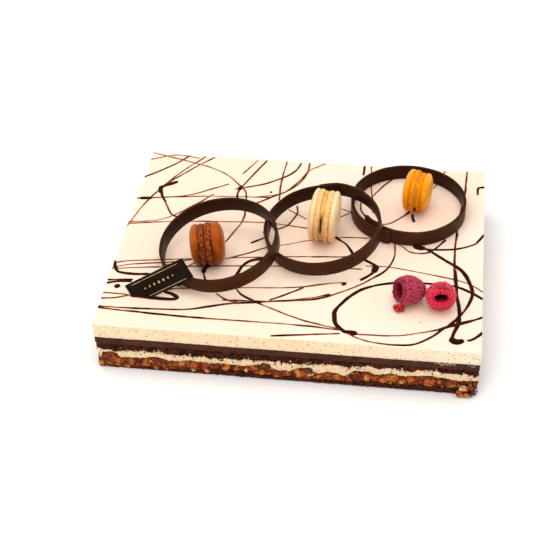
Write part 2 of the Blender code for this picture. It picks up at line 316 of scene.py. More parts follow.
# two tones of one food, blended in soft patches
def buildMottle():
    group, given, result = newGroup(
        "mottle",
        [("Place", direction, None), ("Light", colour, (1, 1, 1, 1)), ("Dark", colour, (0, 0, 0, 1)),
         ("Scale", number, 100), ("Detail", number, 3), ("Low", number, 0.35), ("High", number, 0.65)],
        [("Color", colour), ("Mask", number)])
    patches = addNode(group, "ShaderNodeTexNoise")
    spread = addNode(group, "ShaderNodeMapRange")
    blend = addNode(group, "ShaderNodeMix", data_type="RGBA")
    connect(group, [
        (given, "Place", patches, "Vector"), (given, "Scale", patches, "Scale"),
        (given, "Detail", patches, "Detail"), (patches, "Fac", spread, "Value"),
        (given, "Low", spread, "From Min"), (given, "High", spread, "From Max"),
        (spread, "Result", blend, "Factor"), (given, "Dark", blend, "A"), (given, "Light", blend, "B"),
        (blend, "Result", result, "Color"), (spread, "Result", result, "Mask")])
    return group


# small round dots, such as vanilla seeds: Share is the part of the cells that hold one
def buildSpecks():
    group, given, result = newGroup(
        "specks",
        [("Place", direction, None), ("Scale", number, 300), ("Size", number, 0.2),
         ("Share", number, 0.3)],
        [("Mask", number)])
    cells = addNode(group, "ShaderNodeTexVoronoi")
    dots = addNode(group, "ShaderNodeMapRange")
    parts = addNode(group, "ShaderNodeSeparateColor")
    chosen = mathNode(group, "LESS_THAN")
    both = mathNode(group, "MULTIPLY")
    sizes = mathNode(group, "MULTIPLY")
    edge = mathNode(group, "MULTIPLY", 0.6)
    least = addNode(group, "ShaderNodeMapRange")
    least.inputs["To Min"].default_value = 0.4
    connect(group, [
        (given, "Place", cells, "Vector"), (given, "Scale", cells, "Scale"),
        (cells, "Color", parts, "Color"), (parts, "Red", chosen, 0), (given, "Share", chosen, 1),
        (parts, "Green", least, "Value"), (least, "Result", sizes, 0), (given, "Size", sizes, 1),
        (sizes, "Value", edge, 0), (sizes, "Value", dots, "From Min"),
        (edge, "Value", dots, "From Max"), (cells, "Distance", dots, "Value"), (dots, "Result", both, 0),
        (chosen, "Value", both, 1), (both, "Value", result, "Mask")])
    return group


# relief of crumb: lumps, finer grain and round pores
def buildCrumb():
    group, given, result = newGroup(
        "crumb",
        [("Place", direction, None), ("Scale", number, 300), ("Pores", number, 0.5),
         ("Grain", number, 0.5)],
        [("Height", number), ("Hollow", number)])
    lumps = addNode(group, "ShaderNodeTexNoise")
    lumps.inputs["Detail"].default_value = 5
    lumps.inputs["Roughness"].default_value = 0.65
    holes = addNode(group, "ShaderNodeTexVoronoi", feature="SMOOTH_F1")
    inside = addNode(group, "ShaderNodeMapRange")
    inside.inputs["From Min"].default_value = 0.42
    inside.inputs["From Max"].default_value = 0.08
    grain = addNode(group, "ShaderNodeTexNoise")
    grain.inputs["Detail"].default_value = 2
    finer = mathNode(group, "MULTIPLY", 4.0)
    depth = mathNode(group, "MULTIPLY")
    speckle = mathNode(group, "MULTIPLY")
    raised = mathNode(group, "ADD")
    total = mathNode(group, "SUBTRACT")
    connect(group, [
        (given, "Place", lumps, "Vector"), (given, "Place", holes, "Vector"),
        (given, "Place", grain, "Vector"), (given, "Scale", lumps, "Scale"),
        (given, "Scale", holes, "Scale"), (given, "Scale", finer, 0), (finer, "Value", grain, "Scale"),
        (holes, "Distance", inside, "Value"), (inside, "Result", depth, 0), (given, "Pores", depth, 1),
        (grain, "Fac", speckle, 0), (given, "Grain", speckle, 1), (lumps, "Fac", raised, 0),
        (speckle, "Value", raised, 1), (raised, "Value", total, 0), (depth, "Value", total, 1),
        (total, "Value", result, "Height"), (depth, "Value", result, "Hollow")])
    return group


mottleGroup = buildMottle()
specksGroup = buildSpecks()
crumbGroup = buildCrumb()


class Finish:
    # one material with its shader, the place on the piece in metres and short ways to add
    # what feeds it
    def __init__(self, name, roughness=0.5, specular=0.5, soft=0.0, softRadius=(1, 0.5, 0.3), coat=0.0,
                 tint=(1, 1, 1)):
        self.material = bpy.data.materials.new(name)
        self.material.use_nodes = True
        self.tree = self.material.node_tree
        self.shader = self.tree.nodes["Principled BSDF"]
        self.link = self.tree.links.new
        self.place = addNode(self.tree, "ShaderNodeTexCoord").outputs["Object"]
        self.shader.inputs["Roughness"].default_value = roughness
        self.shader.inputs["Specular IOR Level"].default_value = specular
        self.shader.inputs["Specular Tint"].default_value = (*tint, 1)
        self.shader.inputs["Coat Weight"].default_value = coat
        self.shader.inputs["Coat Roughness"].default_value = 0.2
        if soft:
            self.shader.inputs["Subsurface Weight"].default_value = soft
            self.shader.inputs["Subsurface Radius"].default_value = softRadius
            self.shader.inputs["Subsurface Scale"].default_value = 0.003

    def feed(self, socket, value):
        # value is another socket or a constant
        if isinstance(value, bpy.types.NodeSocket):
            self.link(value, socket)
        else:
            socket.default_value = value

    def group(self, group, **values):
        placed = addNode(self.tree, "ShaderNodeGroup", node_tree=group)
        self.link(self.place, placed.inputs["Place"])
        for key, value in values.items():
            self.feed(placed.inputs[key], value)
        return placed

    def patches(self, light, dark, scale, detail=3, low=0.35, high=0.65):
        # light and dark are linear colours, or what a colour is multiplied by
        return self.group(mottleGroup, Light=(*light[:3], 1), Dark=(*dark[:3], 1), Scale=scale,
                          Detail=detail, Low=low, High=high)

    def tones(self, light, dark, *settings):
        # patches of two tones, given from 0 to 255
        return self.patches(srgb(*light), srgb(*dark), *settings)

    def shaded(self, color, patches):
        return self.mix(1.0, color, patches.outputs["Color"], "MULTIPLY")

    def grain(self, scale, pores, grain, distance=None, strength=1.0):
        # crumb, which also dents the surface where a distance is given
        made = self.group(crumbGroup, Scale=scale, Pores=pores, Grain=grain)
        if distance:
            self.bump(made.outputs["Height"], distance, strength)
        return made

    def specks(self, scale, size, share):
        return self.group(specksGroup, Scale=scale, Size=size, Share=share).outputs["Mask"]

    def value(self, name):
        return addNode(self.tree, "ShaderNodeAttribute", attribute_name=name).outputs["Fac"]

    def tone(self, name):
        return addNode(self.tree, "ShaderNodeAttribute", attribute_name=name).outputs["Color"]

    def mix(self, factor, first, second, blend="MIX"):
        placed = addNode(self.tree, "ShaderNodeMix", data_type="RGBA", blend_type=blend)
        for key, value in (("Factor", factor), ("A", first), ("B", second)):
            self.feed(placed.inputs[key], value)
        return placed.outputs["Result"]

    def remap(self, value, low, high, toLow=0.0, toHigh=1.0):
        placed = addNode(self.tree, "ShaderNodeMapRange")
        self.link(value, placed.inputs["Value"])
        for key, given in (("From Min", low), ("From Max", high), ("To Min", toLow), ("To Max", toHigh)):
            placed.inputs[key].default_value = given
        return placed.outputs["Result"]

    def math(self, operation, first, second):
        placed = addNode(self.tree, "ShaderNodeMath", operation=operation)
        self.feed(placed.inputs[0], first)
        self.feed(placed.inputs[1], second)
        return placed.outputs["Value"]

    def bump(self, height, distance, strength=1.0):
        placed = addNode(self.tree, "ShaderNodeBump")
        placed.inputs["Strength"].default_value = strength
        placed.inputs["Distance"].default_value = distance
        self.link(height, placed.inputs["Height"])
        self.link(placed.outputs["Normal"], self.shader.inputs["Normal"])

    def color(self, socket):
        self.link(socket, self.shader.inputs["Base Color"])

    def rough(self, value, first, last):
        self.link(self.remap(value, 0, 1, first, last), self.shader.inputs["Roughness"])


def plainFinish(name, tones, rough=None, grain=None, **settings):
    # two tones of one stuff, with a little relief where grain is given
    finish = Finish(name, **settings)
    patches = finish.tones(*tones)
    finish.color(patches.outputs["Color"])
    if rough:
        finish.rough(patches.outputs["Mask"], *rough)
    if grain:
        finish.grain(*grain)
    return finish.material


# camera, lights and floor

cameraLook = {
    "place": (0.0856, -0.6894, 0.5945),
    "heading": 8.36,      # degrees the view is turned to the left of +Y
    "down": 40.33,        # degrees it looks down
    "roll": -1.44,
    "lens": 82.6,
}


def addCamera():
    data = bpy.data.cameras.new("camera")
    data.lens = cameraLook["lens"]
    data.sensor_width = 36
    data.clip_start = 0.01
    camera = bpy.data.objects.new("camera", data)
    turn = spun(cameraLook["heading"], "Z")
    tip = spun(90 - cameraLook["down"], "X")
    roll = spun(cameraLook["roll"], "Z")
    camera.matrix_world = Matrix.Translation(cameraLook["place"]) @ turn @ tip @ roll
    scene.collection.objects.link(camera)
    scene.camera = camera


lightLook = {
    "sky": 0.64,
    "panels": [
        # name, place, size, watts
        ("overhead", (-0.1, 0.0, 1.2), 1.6, 12.6),
        ("front", (-0.4, -1.1, 0.95), 0.5, 3.4),
        ("right", (1.1, 0.05, 0.7), 0.5, 1.05),
    ],
}


def addLights():
    world = bpy.data.worlds.new("studio")
    world.use_nodes = True
    world.node_tree.nodes["Background"].inputs["Color"].default_value = (1.0, 0.99, 0.975, 1)
    world.node_tree.nodes["Background"].inputs["Strength"].default_value = lightLook["sky"]
    scene.world = world
    for name, place, size, watts in lightLook["panels"]:
        data = bpy.data.lights.new(name, "AREA")
        data.shape = "SQUARE"
        data.size = size
        data.energy = watts
        data.color = (1.0, 0.98, 0.95)
        lamp = bpy.data.objects.new(name, data)
        lamp.location = place
        lamp.rotation_euler = (-Vector(place)).to_track_quat("-Z", "Y").to_euler()
        scene.collection.objects.link(lamp)
    scene.view_settings.view_transform = "Standard"


def addFloor():
    material = plainFinish("floor", ((253, 253, 253), (250, 250, 250), 3), roughness=0.7, specular=0.2)
    mesh = bpy.data.meshes.new("floor")
    reach = 4.0
    low = cadBox[0][2] - 0.0002
    mesh.from_pydata([(-reach, -reach, low), (reach, -reach, low), (reach, reach, low),
                      (-reach, reach, low)], [], [(0, 1, 2, 3)])
    mesh.materials.append(material)
    floor = bpy.data.objects.new("floor", mesh)
    scene.collection.objects.link(floor)


addCamera()
addLights()
addFloor()
print("camera, lights and floor done")


# the six layers

cake = {
    "length": 250.0, "depth": 195.0, "corner": 0.7,   # millimetres, as all sizes below
    "columnStep": 0.5,
    "rim": 7.0,             # how far in from the cut sides each layer is modelled
    "frontReach": 14.0,     # how far the front's own heights reach back along the sides
}

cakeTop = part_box("vanilla_mousse")[1].z / mm

# Height of the boundary on top of each layer, its rise towards +X per millimetre, its slow
# wave and its raggedness; then along the front the height at places where it really differs.
boundaries = [
    {"height": 4.0, "slope": 0.017, "wave": 0.5, "ragged": 1.0, "grain": 2.0,
     "front": [(-125, 1.5), (-110, 1.1), (-90, 2.2), (-73, 1.7), (-59, 2.6), (-48, 4.5), (-42, 6.5),
               (-33, 5.3), (-26, 5.8), (-15, 3.6), (-5, 2.4), (4, 4.6), (12, 2.4), (25, 3.0),
               (45, 3.8), (57, 5.2), (70, 4.2), (90, 5.2), (125, 5.4)]},
    {"height": 10.0, "slope": 0.014, "wave": 0.75, "ragged": 1.2, "grain": 2.4,
     "front": [(-125, 7.5), (-122.4, 8.0), (-120.6, 13.4), (-111.5, 13.6), (-108.6, 9.6), (-95, 10.0),
               (-86, 12.0), (-76, 9.3), (-60, 11.0), (-48, 9.8), (-40, 10.8), (-28, 9.3),
               (-20, 11.5), (-13, 13.0), (-6, 8.5), (3, 8.5),
               (11, 12.6), (22, 8.6), (32, 10.0), (39, 8.2), (46, 12.0), (56, 12.2), (62, 11.4),
               (69, 13.4), (76, 11.5), (92, 13.8), (105, 12.4), (112, 11.4), (125, 12.4)]},
    {"height": 16.3, "slope": 0.015, "wave": 0.5, "ragged": 2.1, "grain": 2.0,
     "front": [(-125, 17.0), (-112, 14.4), (-101, 15.6), (-82, 16.8), (-76, 15.2), (-58, 15.0),
               (-41, 14.8), (-30, 16.0), (-12, 15.6), (0, 16.0), (9, 15.6), (30, 17.0), (41, 15.7),
               (54, 18.2), (62, 16.6), (69, 18.6), (80, 16.4), (90, 19.0), (100, 17.9), (110, 17.0),
               (125, 17.2)]},
    {"height": 21.7, "slope": 0.002, "wave": 0.25, "ragged": 0.7, "grain": 2.2, "front": None},
    {"height": 26.8, "slope": 0.002, "wave": 0.15, "ragged": 0.45, "grain": 1.2, "front": None},
]


def outline(inset, step=cake["columnStep"]):
    # points round the cut sides with their outward directions and how far round they lie
    left, right, front, back = inset
    x0, x1 = -cake["length"] / 2 + left, cake["length"] / 2 - right
    y0, y1 = -cake["depth"] / 2 + front, cake["depth"] / 2 - back
    r = cake["corner"]
    sides = [((x0 + r, y0), (x1 - r, y0), -90), ((x1, y0 + r), (x1, y1 - r), 0),
             ((x1 - r, y1), (x0 + r, y1), 90), ((x0, y1 - r), (x0, y0 + r), 180)]
    nominal = [cake["length"], cake["depth"], cake["length"], cake["depth"]]
    points, normals, share = [], [], []
    whole = 2 * (cake["length"] + cake["depth"])
    gone = 0.0
    for (a, b, angle), length in zip(sides, nominal):
        count = int(length / step)
        for i in range(count):
            t = i / count
            points.append((a[0] + (b[0] - a[0]) * t, a[1] + (b[1] - a[1]) * t))
            normals.append(aimed(angle))
            share.append((gone + length * t) / whole)
        for k in range(3):                        # the rounded corner at the side's end
            out, inward = aimed(angle + 90 * (k + 0.5) / 3), aimed(angle)
            points.append(tuple(b[n] - inward[n] * r + r * out[n] for n in range(2)))
            normals.append(out)
            share.append((gone + length * (1 - 0.0004 * (3 - k))) / whole)
        gone += length
    return np.array(points), np.array(normals), np.array(share)


def boundaryHeight(level, points, share):
    # millimetres above the underside, at points round the cut sides
    if level < 0:
        return np.zeros(len(points))
    if level == len(boundaries):
        return np.full(len(points), cakeTop)
    look = boundaries[level]
    turn = 2 * math.pi * share
    wave = (0.5 * np.sin(4 * turn + 1.7 * level) + 0.3 * np.sin(9 * turn + 2.9 * level)
            + 0.2 * np.sin(14 * turn + 0.8 * level))
    height = look["height"] + look["slope"] * points[:, 0] + look["wave"] * wave
    if look["front"]:
        knots = np.array(look["front"], float)
        atFront = np.interp(points[:, 0], knots[:, 0], knots[:, 1])
        away = smoothStep(np.clip((points[:, 1] + cake["depth"] / 2) / cake["frontReach"], 0, 1))
        bulge = 1.6 * softNoise(np.c_[points, np.zeros(len(points))] * mm, 9 * mm, 40 + level)
        height = atFront * (1 - away) + (height + bulge) * away
    flatPlace = np.c_[points, np.full(len(points), 7.0 * level)] * mm
    ragged = layeredNoise(flatPlace, look["grain"] * mm, 50 + level, 0.7)
    return np.maximum(height + look["ragged"] * ragged, 0.4)


# caramel and nut tones; gap is painted shade between the praline's chunks
nutTones = {
    "gold": srgb(214, 132, 44), "orange": srgb(200, 98, 24), "peach": srgb(222, 146, 78),
    "brown": srgb(130, 58, 18), "dark": srgb(96, 36, 12), "rust": srgb(160, 70, 18),
    "cream": srgb(255, 230, 194), "gap": srgb(74, 26, 9),
}
chunkTones = ["brown", "rust", "brown", "rust", "dark", "brown", "orange", "rust", "brown", "rust", "dark",
              "gold"]

# Lumpy layers are chopped nuts and caramel: chunks of one tone each, with the gaps between
# them painted dark as shade.
layerLooks = {
    "base_biscuit": {"level": 0, "inset": (0.8, 1.6, 0.5, 0.6), "step": 0.5, "rows": 10, "relief": 0.55,
                     "grain": 1.5, "groove": 0.35, "slot": "biscuit"},
    "praline_layer": {"level": 1, "inset": (1.0, 1.0, 0.9, 0.9), "step": 0.36, "rows": 22, "relief": 0.25,
                      "grain": 1.4, "groove": 0.5, "slot": "praline", "chunk": 1.8},
    "cream_layer": {"level": 2, "inset": (1.9, 0.6, 0.6, 0.6), "step": 0.5, "rows": 14, "relief": 0.55,
                    "grain": 1.6, "groove": 0.25, "slot": "cream", "crack": (49, 6.5, 1.5),
                    "crackReach": 7.5},
    "chocolate_sponge": {"level": 3, "inset": (0.4, 0.4, 0.3, 0.3), "step": 0.5, "rows": 11,
                         "relief": 0.55, "grain": 1.4, "groove": 0.35, "slot": "sponge"},
    "ganache_layer": {"level": 4, "inset": (0.2, 0.2, 0.15, 0.15), "step": 0.6, "rows": 9,
                      "relief": 0.12, "grain": 2.0, "groove": 0.25, "slot": "ganache"},
}


def pralineTones(gap, own, place):
    # each chunk has one of a few caramel tones, darker towards the gaps round it as painted shade
    tones = np.array([nutTones[tone][:3] for tone in chunkTones])
    chosen = tones[np.minimum((own * len(tones)).astype(int), len(tones) - 1)]
    shade = 1 + 0.22 * softNoise(place, 1.3 * mm, 91)
    inside = smoothStep(np.clip((gap + 0.04) / 0.34, 0, 1)[:, None])
    return (chosen * shade[:, None]) * inside + np.array(nutTones["gap"][:3]) * (1 - inside)


def buildLayer(name, finish):
    look = layerLooks[name]
    level = look["level"]
    points, normals, share = outline(look["inset"], look["step"])
    low = boundaryHeight(level - 1, points, share)
    high = boundaryHeight(level, points, share)
    if "crack" in look:                            # a crack over the praline, near the front right
        middle, half, deep = look["crack"]
        atFront = points[:, 1] < -cake["depth"] / 2 + look["crackReach"]
        low = low + deep * np.exp(-((points[:, 0] - middle) / half) ** 4) * atFront
        low = np.minimum(low, high - 0.8)
    high = np.maximum(high, low + 0.5)
    tall = high - low
    loops, tones = [], []
    for row in range(look["rows"]):
        t = row / (look["rows"] - 1)
        z = low + tall * t
        place = np.c_[points, z] * mm
        lump = layeredNoise(place, look["grain"] * mm, 3 * level + 5, 0.6)
        toEdge = np.minimum(t, 1 - t) * tall
        out = look["relief"] * (lump - 0.35) - look["groove"] * np.exp(-toEdge / 0.35)
        if "chunk" in look:
            near, gap, own = chunks(place * (1, 1, 1.25), look["chunk"] * mm, 30)
            out = out + 0.65 - 0.8 * np.exp(-gap / 0.10) - 0.5 * near + 0.6 * (own - 0.5)
            tones.append(pralineTones(gap, own, place))
        out = np.minimum(out, min(look["inset"][2:]))
        loops.append(np.c_[points + normals * out[:, None], z])
    # the hidden flats above and below end in plain loops well inside the cut sides
    inner = resampled(outline([side + cake["rim"] for side in look["inset"]])[0], len(points))
    for at, row in ((0, loops[0]), (len(loops) + 1, loops[-1])):
        loops.insert(at, np.c_[inner, np.full(len(points), np.mean(row[:, 2]))])
    values = None
    if tones:
        values = {"tone": np.concatenate([tones[0]] + tones + [tones[-1]])}
    grid = np.concatenate(loops) * mm
    faces = tubeFaces(len(loops), len(points))
    makePiece(name + "_piece", grid, faces, finish, [name], values)


def resampled(points, count):
    # a closed loop of points given again with another number of them
    closed = np.r_[points, points[:1]]
    run = runOf(closed)
    return pointsAt(closed, run, np.linspace(0, run[-1], count, endpoint=False))


# Baked layers: two tones in patches, pores painted nearly black as shade and a few paler flecks.
bakedLooks = {
    "biscuit": {"specular": 0.12, "tint": (1, 0.75, 0.55),
                "tones": ((88, 44, 28), (34, 13, 7), 480, 5, 0.34, 0.68),
                "grain": (620, 0.6, 0.5, 0.0007, 0.9), "pore": (18, 6, 4),
                "flecks": (420, 0.45, 0.12), "fleck": (146, 78, 46), "rough": (0.95, 0.7)},
    "sponge": {"specular": 0.1, "tint": (1, 0.7, 0.5),
               "tones": ((100, 48, 28), (38, 14, 7), 420, 5, 0.36, 0.7),
               "grain": (700, 0.8, 0.5, 0.0007, 1.0), "pore": (22, 8, 5),
               "flecks": (460, 0.4, 0.08), "fleck": (134, 76, 52), "rough": (0.97, 0.8)},
}


def bakedFinish(name):
    look = bakedLooks[name]
    finish = Finish(name, specular=look["specular"], tint=look["tint"])
    tones = finish.tones(*look["tones"])
    crumbs = finish.grain(*look["grain"])
    # painted shade: the crumb's pores go nearly black
    base = finish.mix(crumbs.outputs["Hollow"], tones.outputs["Color"], srgb(*look["pore"]))
    finish.color(finish.mix(finish.specks(*look["flecks"]), base, srgb(*look["fleck"])))
    finish.rough(tones.outputs["Mask"], *look["rough"])
    return finish.material


def pralineFinish():
    finish = Finish("praline", specular=0.2, coat=0.05, soft=0.06, tint=(1, 0.8, 0.6))
    tones = finish.patches((1.25, 1.2, 1.15), (0.5, 0.4, 0.32), 900, 5, 0.36, 0.62)
    crumbs = finish.grain(700, 0.5, 0.3, 0.0006, 0.8)
    flecks = finish.specks(700, 0.5, 0.12)
    # painted shade: the crumb's hollows go nearly black
    base = finish.mix(crumbs.outputs["Hollow"], finish.shaded(finish.tone("tone"), tones),
                      srgb(38, 12, 5))
    finish.color(finish.mix(flecks, base, srgb(232, 172, 112)))
    finish.rough(tones.outputs["Mask"], 0.6, 0.35)
    return finish.material


def creamFinish():
    finish = Finish("cream", specular=0.2, soft=0.3, softRadius=(1, 0.7, 0.45))
    tones = finish.tones((255, 230, 194), (249, 206, 154), 380, 5, 0.3, 0.62)
    crumbs = finish.grain(640, 0.6, 0.4, 0.0006, 0.9)
    seeds = finish.specks(620, 0.40, 0.14)
    bran = finish.patches((1, 1, 1), (0, 0, 0), 300, 5, 0.62, 0.72)
    shaded = finish.mix(finish.math("MULTIPLY", crumbs.outputs["Hollow"], 0.6),
                        tones.outputs["Color"], srgb(196, 130, 78))
    dusted = finish.mix(finish.math("MULTIPLY", bran.outputs["Mask"], 0.7), shaded, srgb(190, 118, 66))
    finish.color(finish.mix(seeds, dusted, srgb(84, 42, 22)))
    finish.rough(tones.outputs["Mask"], 0.85, 0.6)
    return finish.material


def ganacheFinish():
    finish = Finish("ganache", specular=0.14, tint=(1, 0.75, 0.6))
    tones = finish.tones((80, 44, 32), (52, 25, 17), 170, 4, 0.3, 0.7)
    # faint knife lines run up and down the cut
    squeezed = addNode(finish.tree, "ShaderNodeVectorMath", operation="MULTIPLY")
    squeezed.inputs[1].default_value = (1, 1, 0.08)
    finish.link(finish.place, squeezed.inputs[0])
    lines = addNode(finish.tree, "ShaderNodeTexNoise")
    lines.inputs["Scale"].default_value = 900
    finish.link(squeezed.outputs["Vector"], lines.inputs["Vector"])
    # the pits are dark specks, painted shade in small pits of the cut
    pits = finish.specks(520, 0.4, 0.12)
    dust = finish.specks(460, 0.35, 0.05)
    pale = finish.mix(finish.remap(lines.outputs["Fac"], 0.55, 0.75, 0, 0.3),
                      tones.outputs["Color"], srgb(98, 66, 52))
    pitted = finish.mix(pits, pale, srgb(24, 12, 9))
    finish.color(finish.mix(dust, pitted, srgb(150, 100, 78)))
    finish.rough(tones.outputs["Mask"], 0.5, 0.7)
    finish.bump(lines.outputs["Fac"], 0.0003, 0.6)
    return finish.material


print("building layers")
buildLayer("base_biscuit", bakedFinish("biscuit"))
buildLayer("praline_layer", pralineFinish())
buildLayer("cream_layer", creamFinish())
buildLayer("chocolate_sponge", bakedFinish("sponge"))
buildLayer("ganache_layer", ganacheFinish())


# The last two are in metres: where the glaze begins and is whole, and where the cut side
# starts and stops getting paler towards the right, which is painted light.
mousseLook = {"rows": 9, "relief": 0.10, "grain": 2.6, "round": 0.8, "roundSteps": 4,
              "glaze": (0.03720, 0.03785), "paler": (0.015, 0.105)}


def mousseFinish():
    # speckled where it is cut, smooth and shinier where it is glazed on top
    finish = Finish("mousse", specular=0.3, soft=0.3, softRadius=(1, 0.92, 0.8))
    apart = addNode(finish.tree, "ShaderNodeSeparateXYZ")
    finish.link(finish.place, apart.inputs["Vector"])
    glazed = finish.remap(apart.outputs["Z"], *mousseLook["glaze"])
    cut = finish.tones((255, 228, 192), (251, 214, 174), 240, 5, 0.3, 0.62)
    seeds = finish.specks(520, 0.42, 0.48)
    fineSeeds = finish.specks(900, 0.40, 0.40)
    crumbs = finish.grain(700, 0.4, 0.4)
    # painted light: the cut side gets paler towards the right
    paintedLightRight = finish.mix(finish.remap(apart.outputs["X"], *mousseLook["paler"]), cut.outputs["Color"],
                          srgb(255, 232, 204))
    # painted shade: the crumb's hollows are darker
    holes = finish.mix(finish.math("MULTIPLY", crumbs.outputs["Hollow"], 0.5), paintedLightRight,
                       srgb(212, 160, 112))
    dotted = finish.mix(finish.math("MULTIPLY", fineSeeds, 0.7), holes,
                        srgb(160, 104, 62))
    side = finish.mix(seeds, dotted, srgb(56, 30, 16))
    top = finish.tones((253, 227, 206), (251, 222, 199), 14, 2, 0.3, 0.7)
    finish.color(finish.mix(glazed, side, top.outputs["Color"]))
    finish.rough(glazed, 0.62, 0.28)
    still = finish.math("SUBTRACT", 1.0, glazed)
    finish.bump(finish.math("MULTIPLY", crumbs.outputs["Height"], still), 0.0004, 0.7)
    return finish.material


def buildMousse(finish):
    points, normals, share = outline((0, 0, 0, 0))
    low = boundaryHeight(4, points, share)
    roundness = mousseLook["round"]
    loops = []
    for row in range(mousseLook["rows"]):
        t = row / (mousseLook["rows"] - 1)
        z = low + (cakeTop - roundness - low) * t
        lump = layeredNoise(np.c_[points, z] * mm, mousseLook["grain"] * mm, 31, 0.6)
        out = mousseLook["relief"] * (lump - 1.0) * (1 - t ** 6)
        out = out - 0.2 * np.exp(-(z - low) / 0.3)
        loops.append(np.c_[points + normals * out[:, None], z])
    for step in range(1, mousseLook["roundSteps"] + 1):
        turn = math.pi / 2 * step / mousseLook["roundSteps"]
        inward = roundness * (1 - math.cos(turn))
        z = cakeTop - roundness + roundness * math.sin(turn)
        loops.append(np.c_[points - normals * inward, np.full(len(points), z)])
    for inward in (1.6, 3.0):
        loops.append(np.c_[resampled(outline([inward] * 4)[0], len(points)), np.full(len(points), cakeTop)])
    inner = resampled(outline([cake["rim"]] * 4)[0], len(points))
    loops.insert(0, np.c_[inner, np.full(len(points), np.mean(low))])
    faces = tubeFaces(len(loops), len(points))
    makePiece("vanilla_mousse_piece", np.concatenate(loops) * mm, faces, finish,
              ["vanilla_mousse"])


buildMousse(mousseFinish())
print("layers done")


# nuts in the praline

# Along the front: place along X, height of its middle, half width, half height, tone.
frontNuts = [
    (-122.6, 3.6, 2.0, 2.6, "peach"), (-113.4, 9.4, 2.2, 1.8, "orange"),
    (-116.2, 6.2, 3.2, 2.6, "brown"), (-110.4, 6.6, 3.4, 2.4, "orange"), (-105.3, 2.1, 1.9, 1.9, "peach"),
    (-101.8, 5.6, 2.4, 2.9, "gold"), (-97.2, 7.0, 2.0, 2.5, "dark"), (-91.5, 7.4, 3.4, 1.8, "orange"),
    (-91.8, 4.8, 3.6, 1.4, "gold"), (-83.6, 7.2, 3.5, 4.1, "rust"), (-85.4, 2.4, 1.8, 1.4, "peach"),
    (-79.0, 2.6, 2.2, 1.5, "brown"), (-74.2, 4.0, 2.4, 2.0, "rust"), (-67.6, 8.2, 2.9, 2.5, "peach"),
    (-72.6, 7.0, 2.4, 2.4, "orange"), (-60.3, 7.2, 4.0, 3.6, "orange"), (-60.5, 3.0, 1.8, 1.1, "cream"),
    (-52.6, 7.4, 3.0, 2.6, "rust"), (-51.4, 3.4, 2.6, 1.3, "peach"), (-46.2, 7.6, 2.6, 2.0, "brown"),
    (-38.2, 7.8, 3.4, 3.1, "gold"), (-31.6, 7.2, 1.8, 1.4, "peach"), (-28.2, 8.0, 1.9, 1.3, "rust"),
    (-25.4, 6.2, 1.6, 1.6, "cream"), (-19.6, 9.2, 3.0, 2.0, "orange"), (-12.8, 11.4, 4.6, 2.8, "dark"),
    (-14.6, 5.8, 2.6, 2.6, "gold"), (-6.0, 6.3, 3.9, 2.7, "brown"), (-5.8, 3.6, 2.2, 1.4, "peach"),
    (1.2, 6.6, 2.6, 1.9, "orange"), (8.8, 8.0, 2.4, 4.6, "peach"), (12.0, 7.8, 2.2, 3.6, "orange"),
    (15.8, 10.6, 4.0, 2.3, "dark"), (17.0, 7.2, 2.4, 1.0, "cream"), (16.4, 4.6, 2.2, 1.9, "brown"),
    (22.4, 6.0, 2.0, 1.9, "peach"), (28.6, 7.0, 3.2, 3.0, "orange"), (34.6, 6.6, 3.0, 2.8, "gold"),
    (42.0, 6.4, 2.8, 2.4, "rust"), (48.8, 7.2, 2.7, 3.1, "brown"), (53.0, 7.8, 2.4, 2.9, "peach"),
    (58.6, 8.4, 2.4, 2.4, "rust"), (64.4, 8.0, 2.9, 3.4, "gold"), (70.4, 8.6, 3.6, 3.9, "gold"),
    (76.6, 7.6, 2.2, 2.6, "peach"), (82.0, 9.2, 2.3, 3.4, "orange"), (87.6, 8.0, 2.1, 2.2, "rust"),
    (93.8, 8.9, 4.1, 3.8, "orange"), (93.4, 6.2, 3.4, 1.2, "gold"), (100.2, 9.5, 1.6, 1.6, "peach"),
    (106.6, 9.4, 3.6, 2.4, "rust"), (107.4, 6.8, 2.8, 1.2, "peach"),
]
nutLook = {"spacing": 5.4, "depth": 3.0, "buried": 0.54, "swell": 1.10, "subdivisions": 3,
           "lump": 0.26, "facets": 5, "facetAt": 0.66, "facetDepth": 0.9, "skin": (0.52, 0.38, 0.28),
           "frontInset": 0.12, "sideInset": 0.15, "ends": 4.0, "slope": 0.014,
           "small": (1.6, 1.2, 2.4), "smallShare": 0.55, "smallInset": 0.2,
           "tones": ["gold", "orange", "orange", "peach", "brown", "rust", "rust", "brown", "gold"],
           "smallTones": ["peach", "gold", "rust", "cream"]}


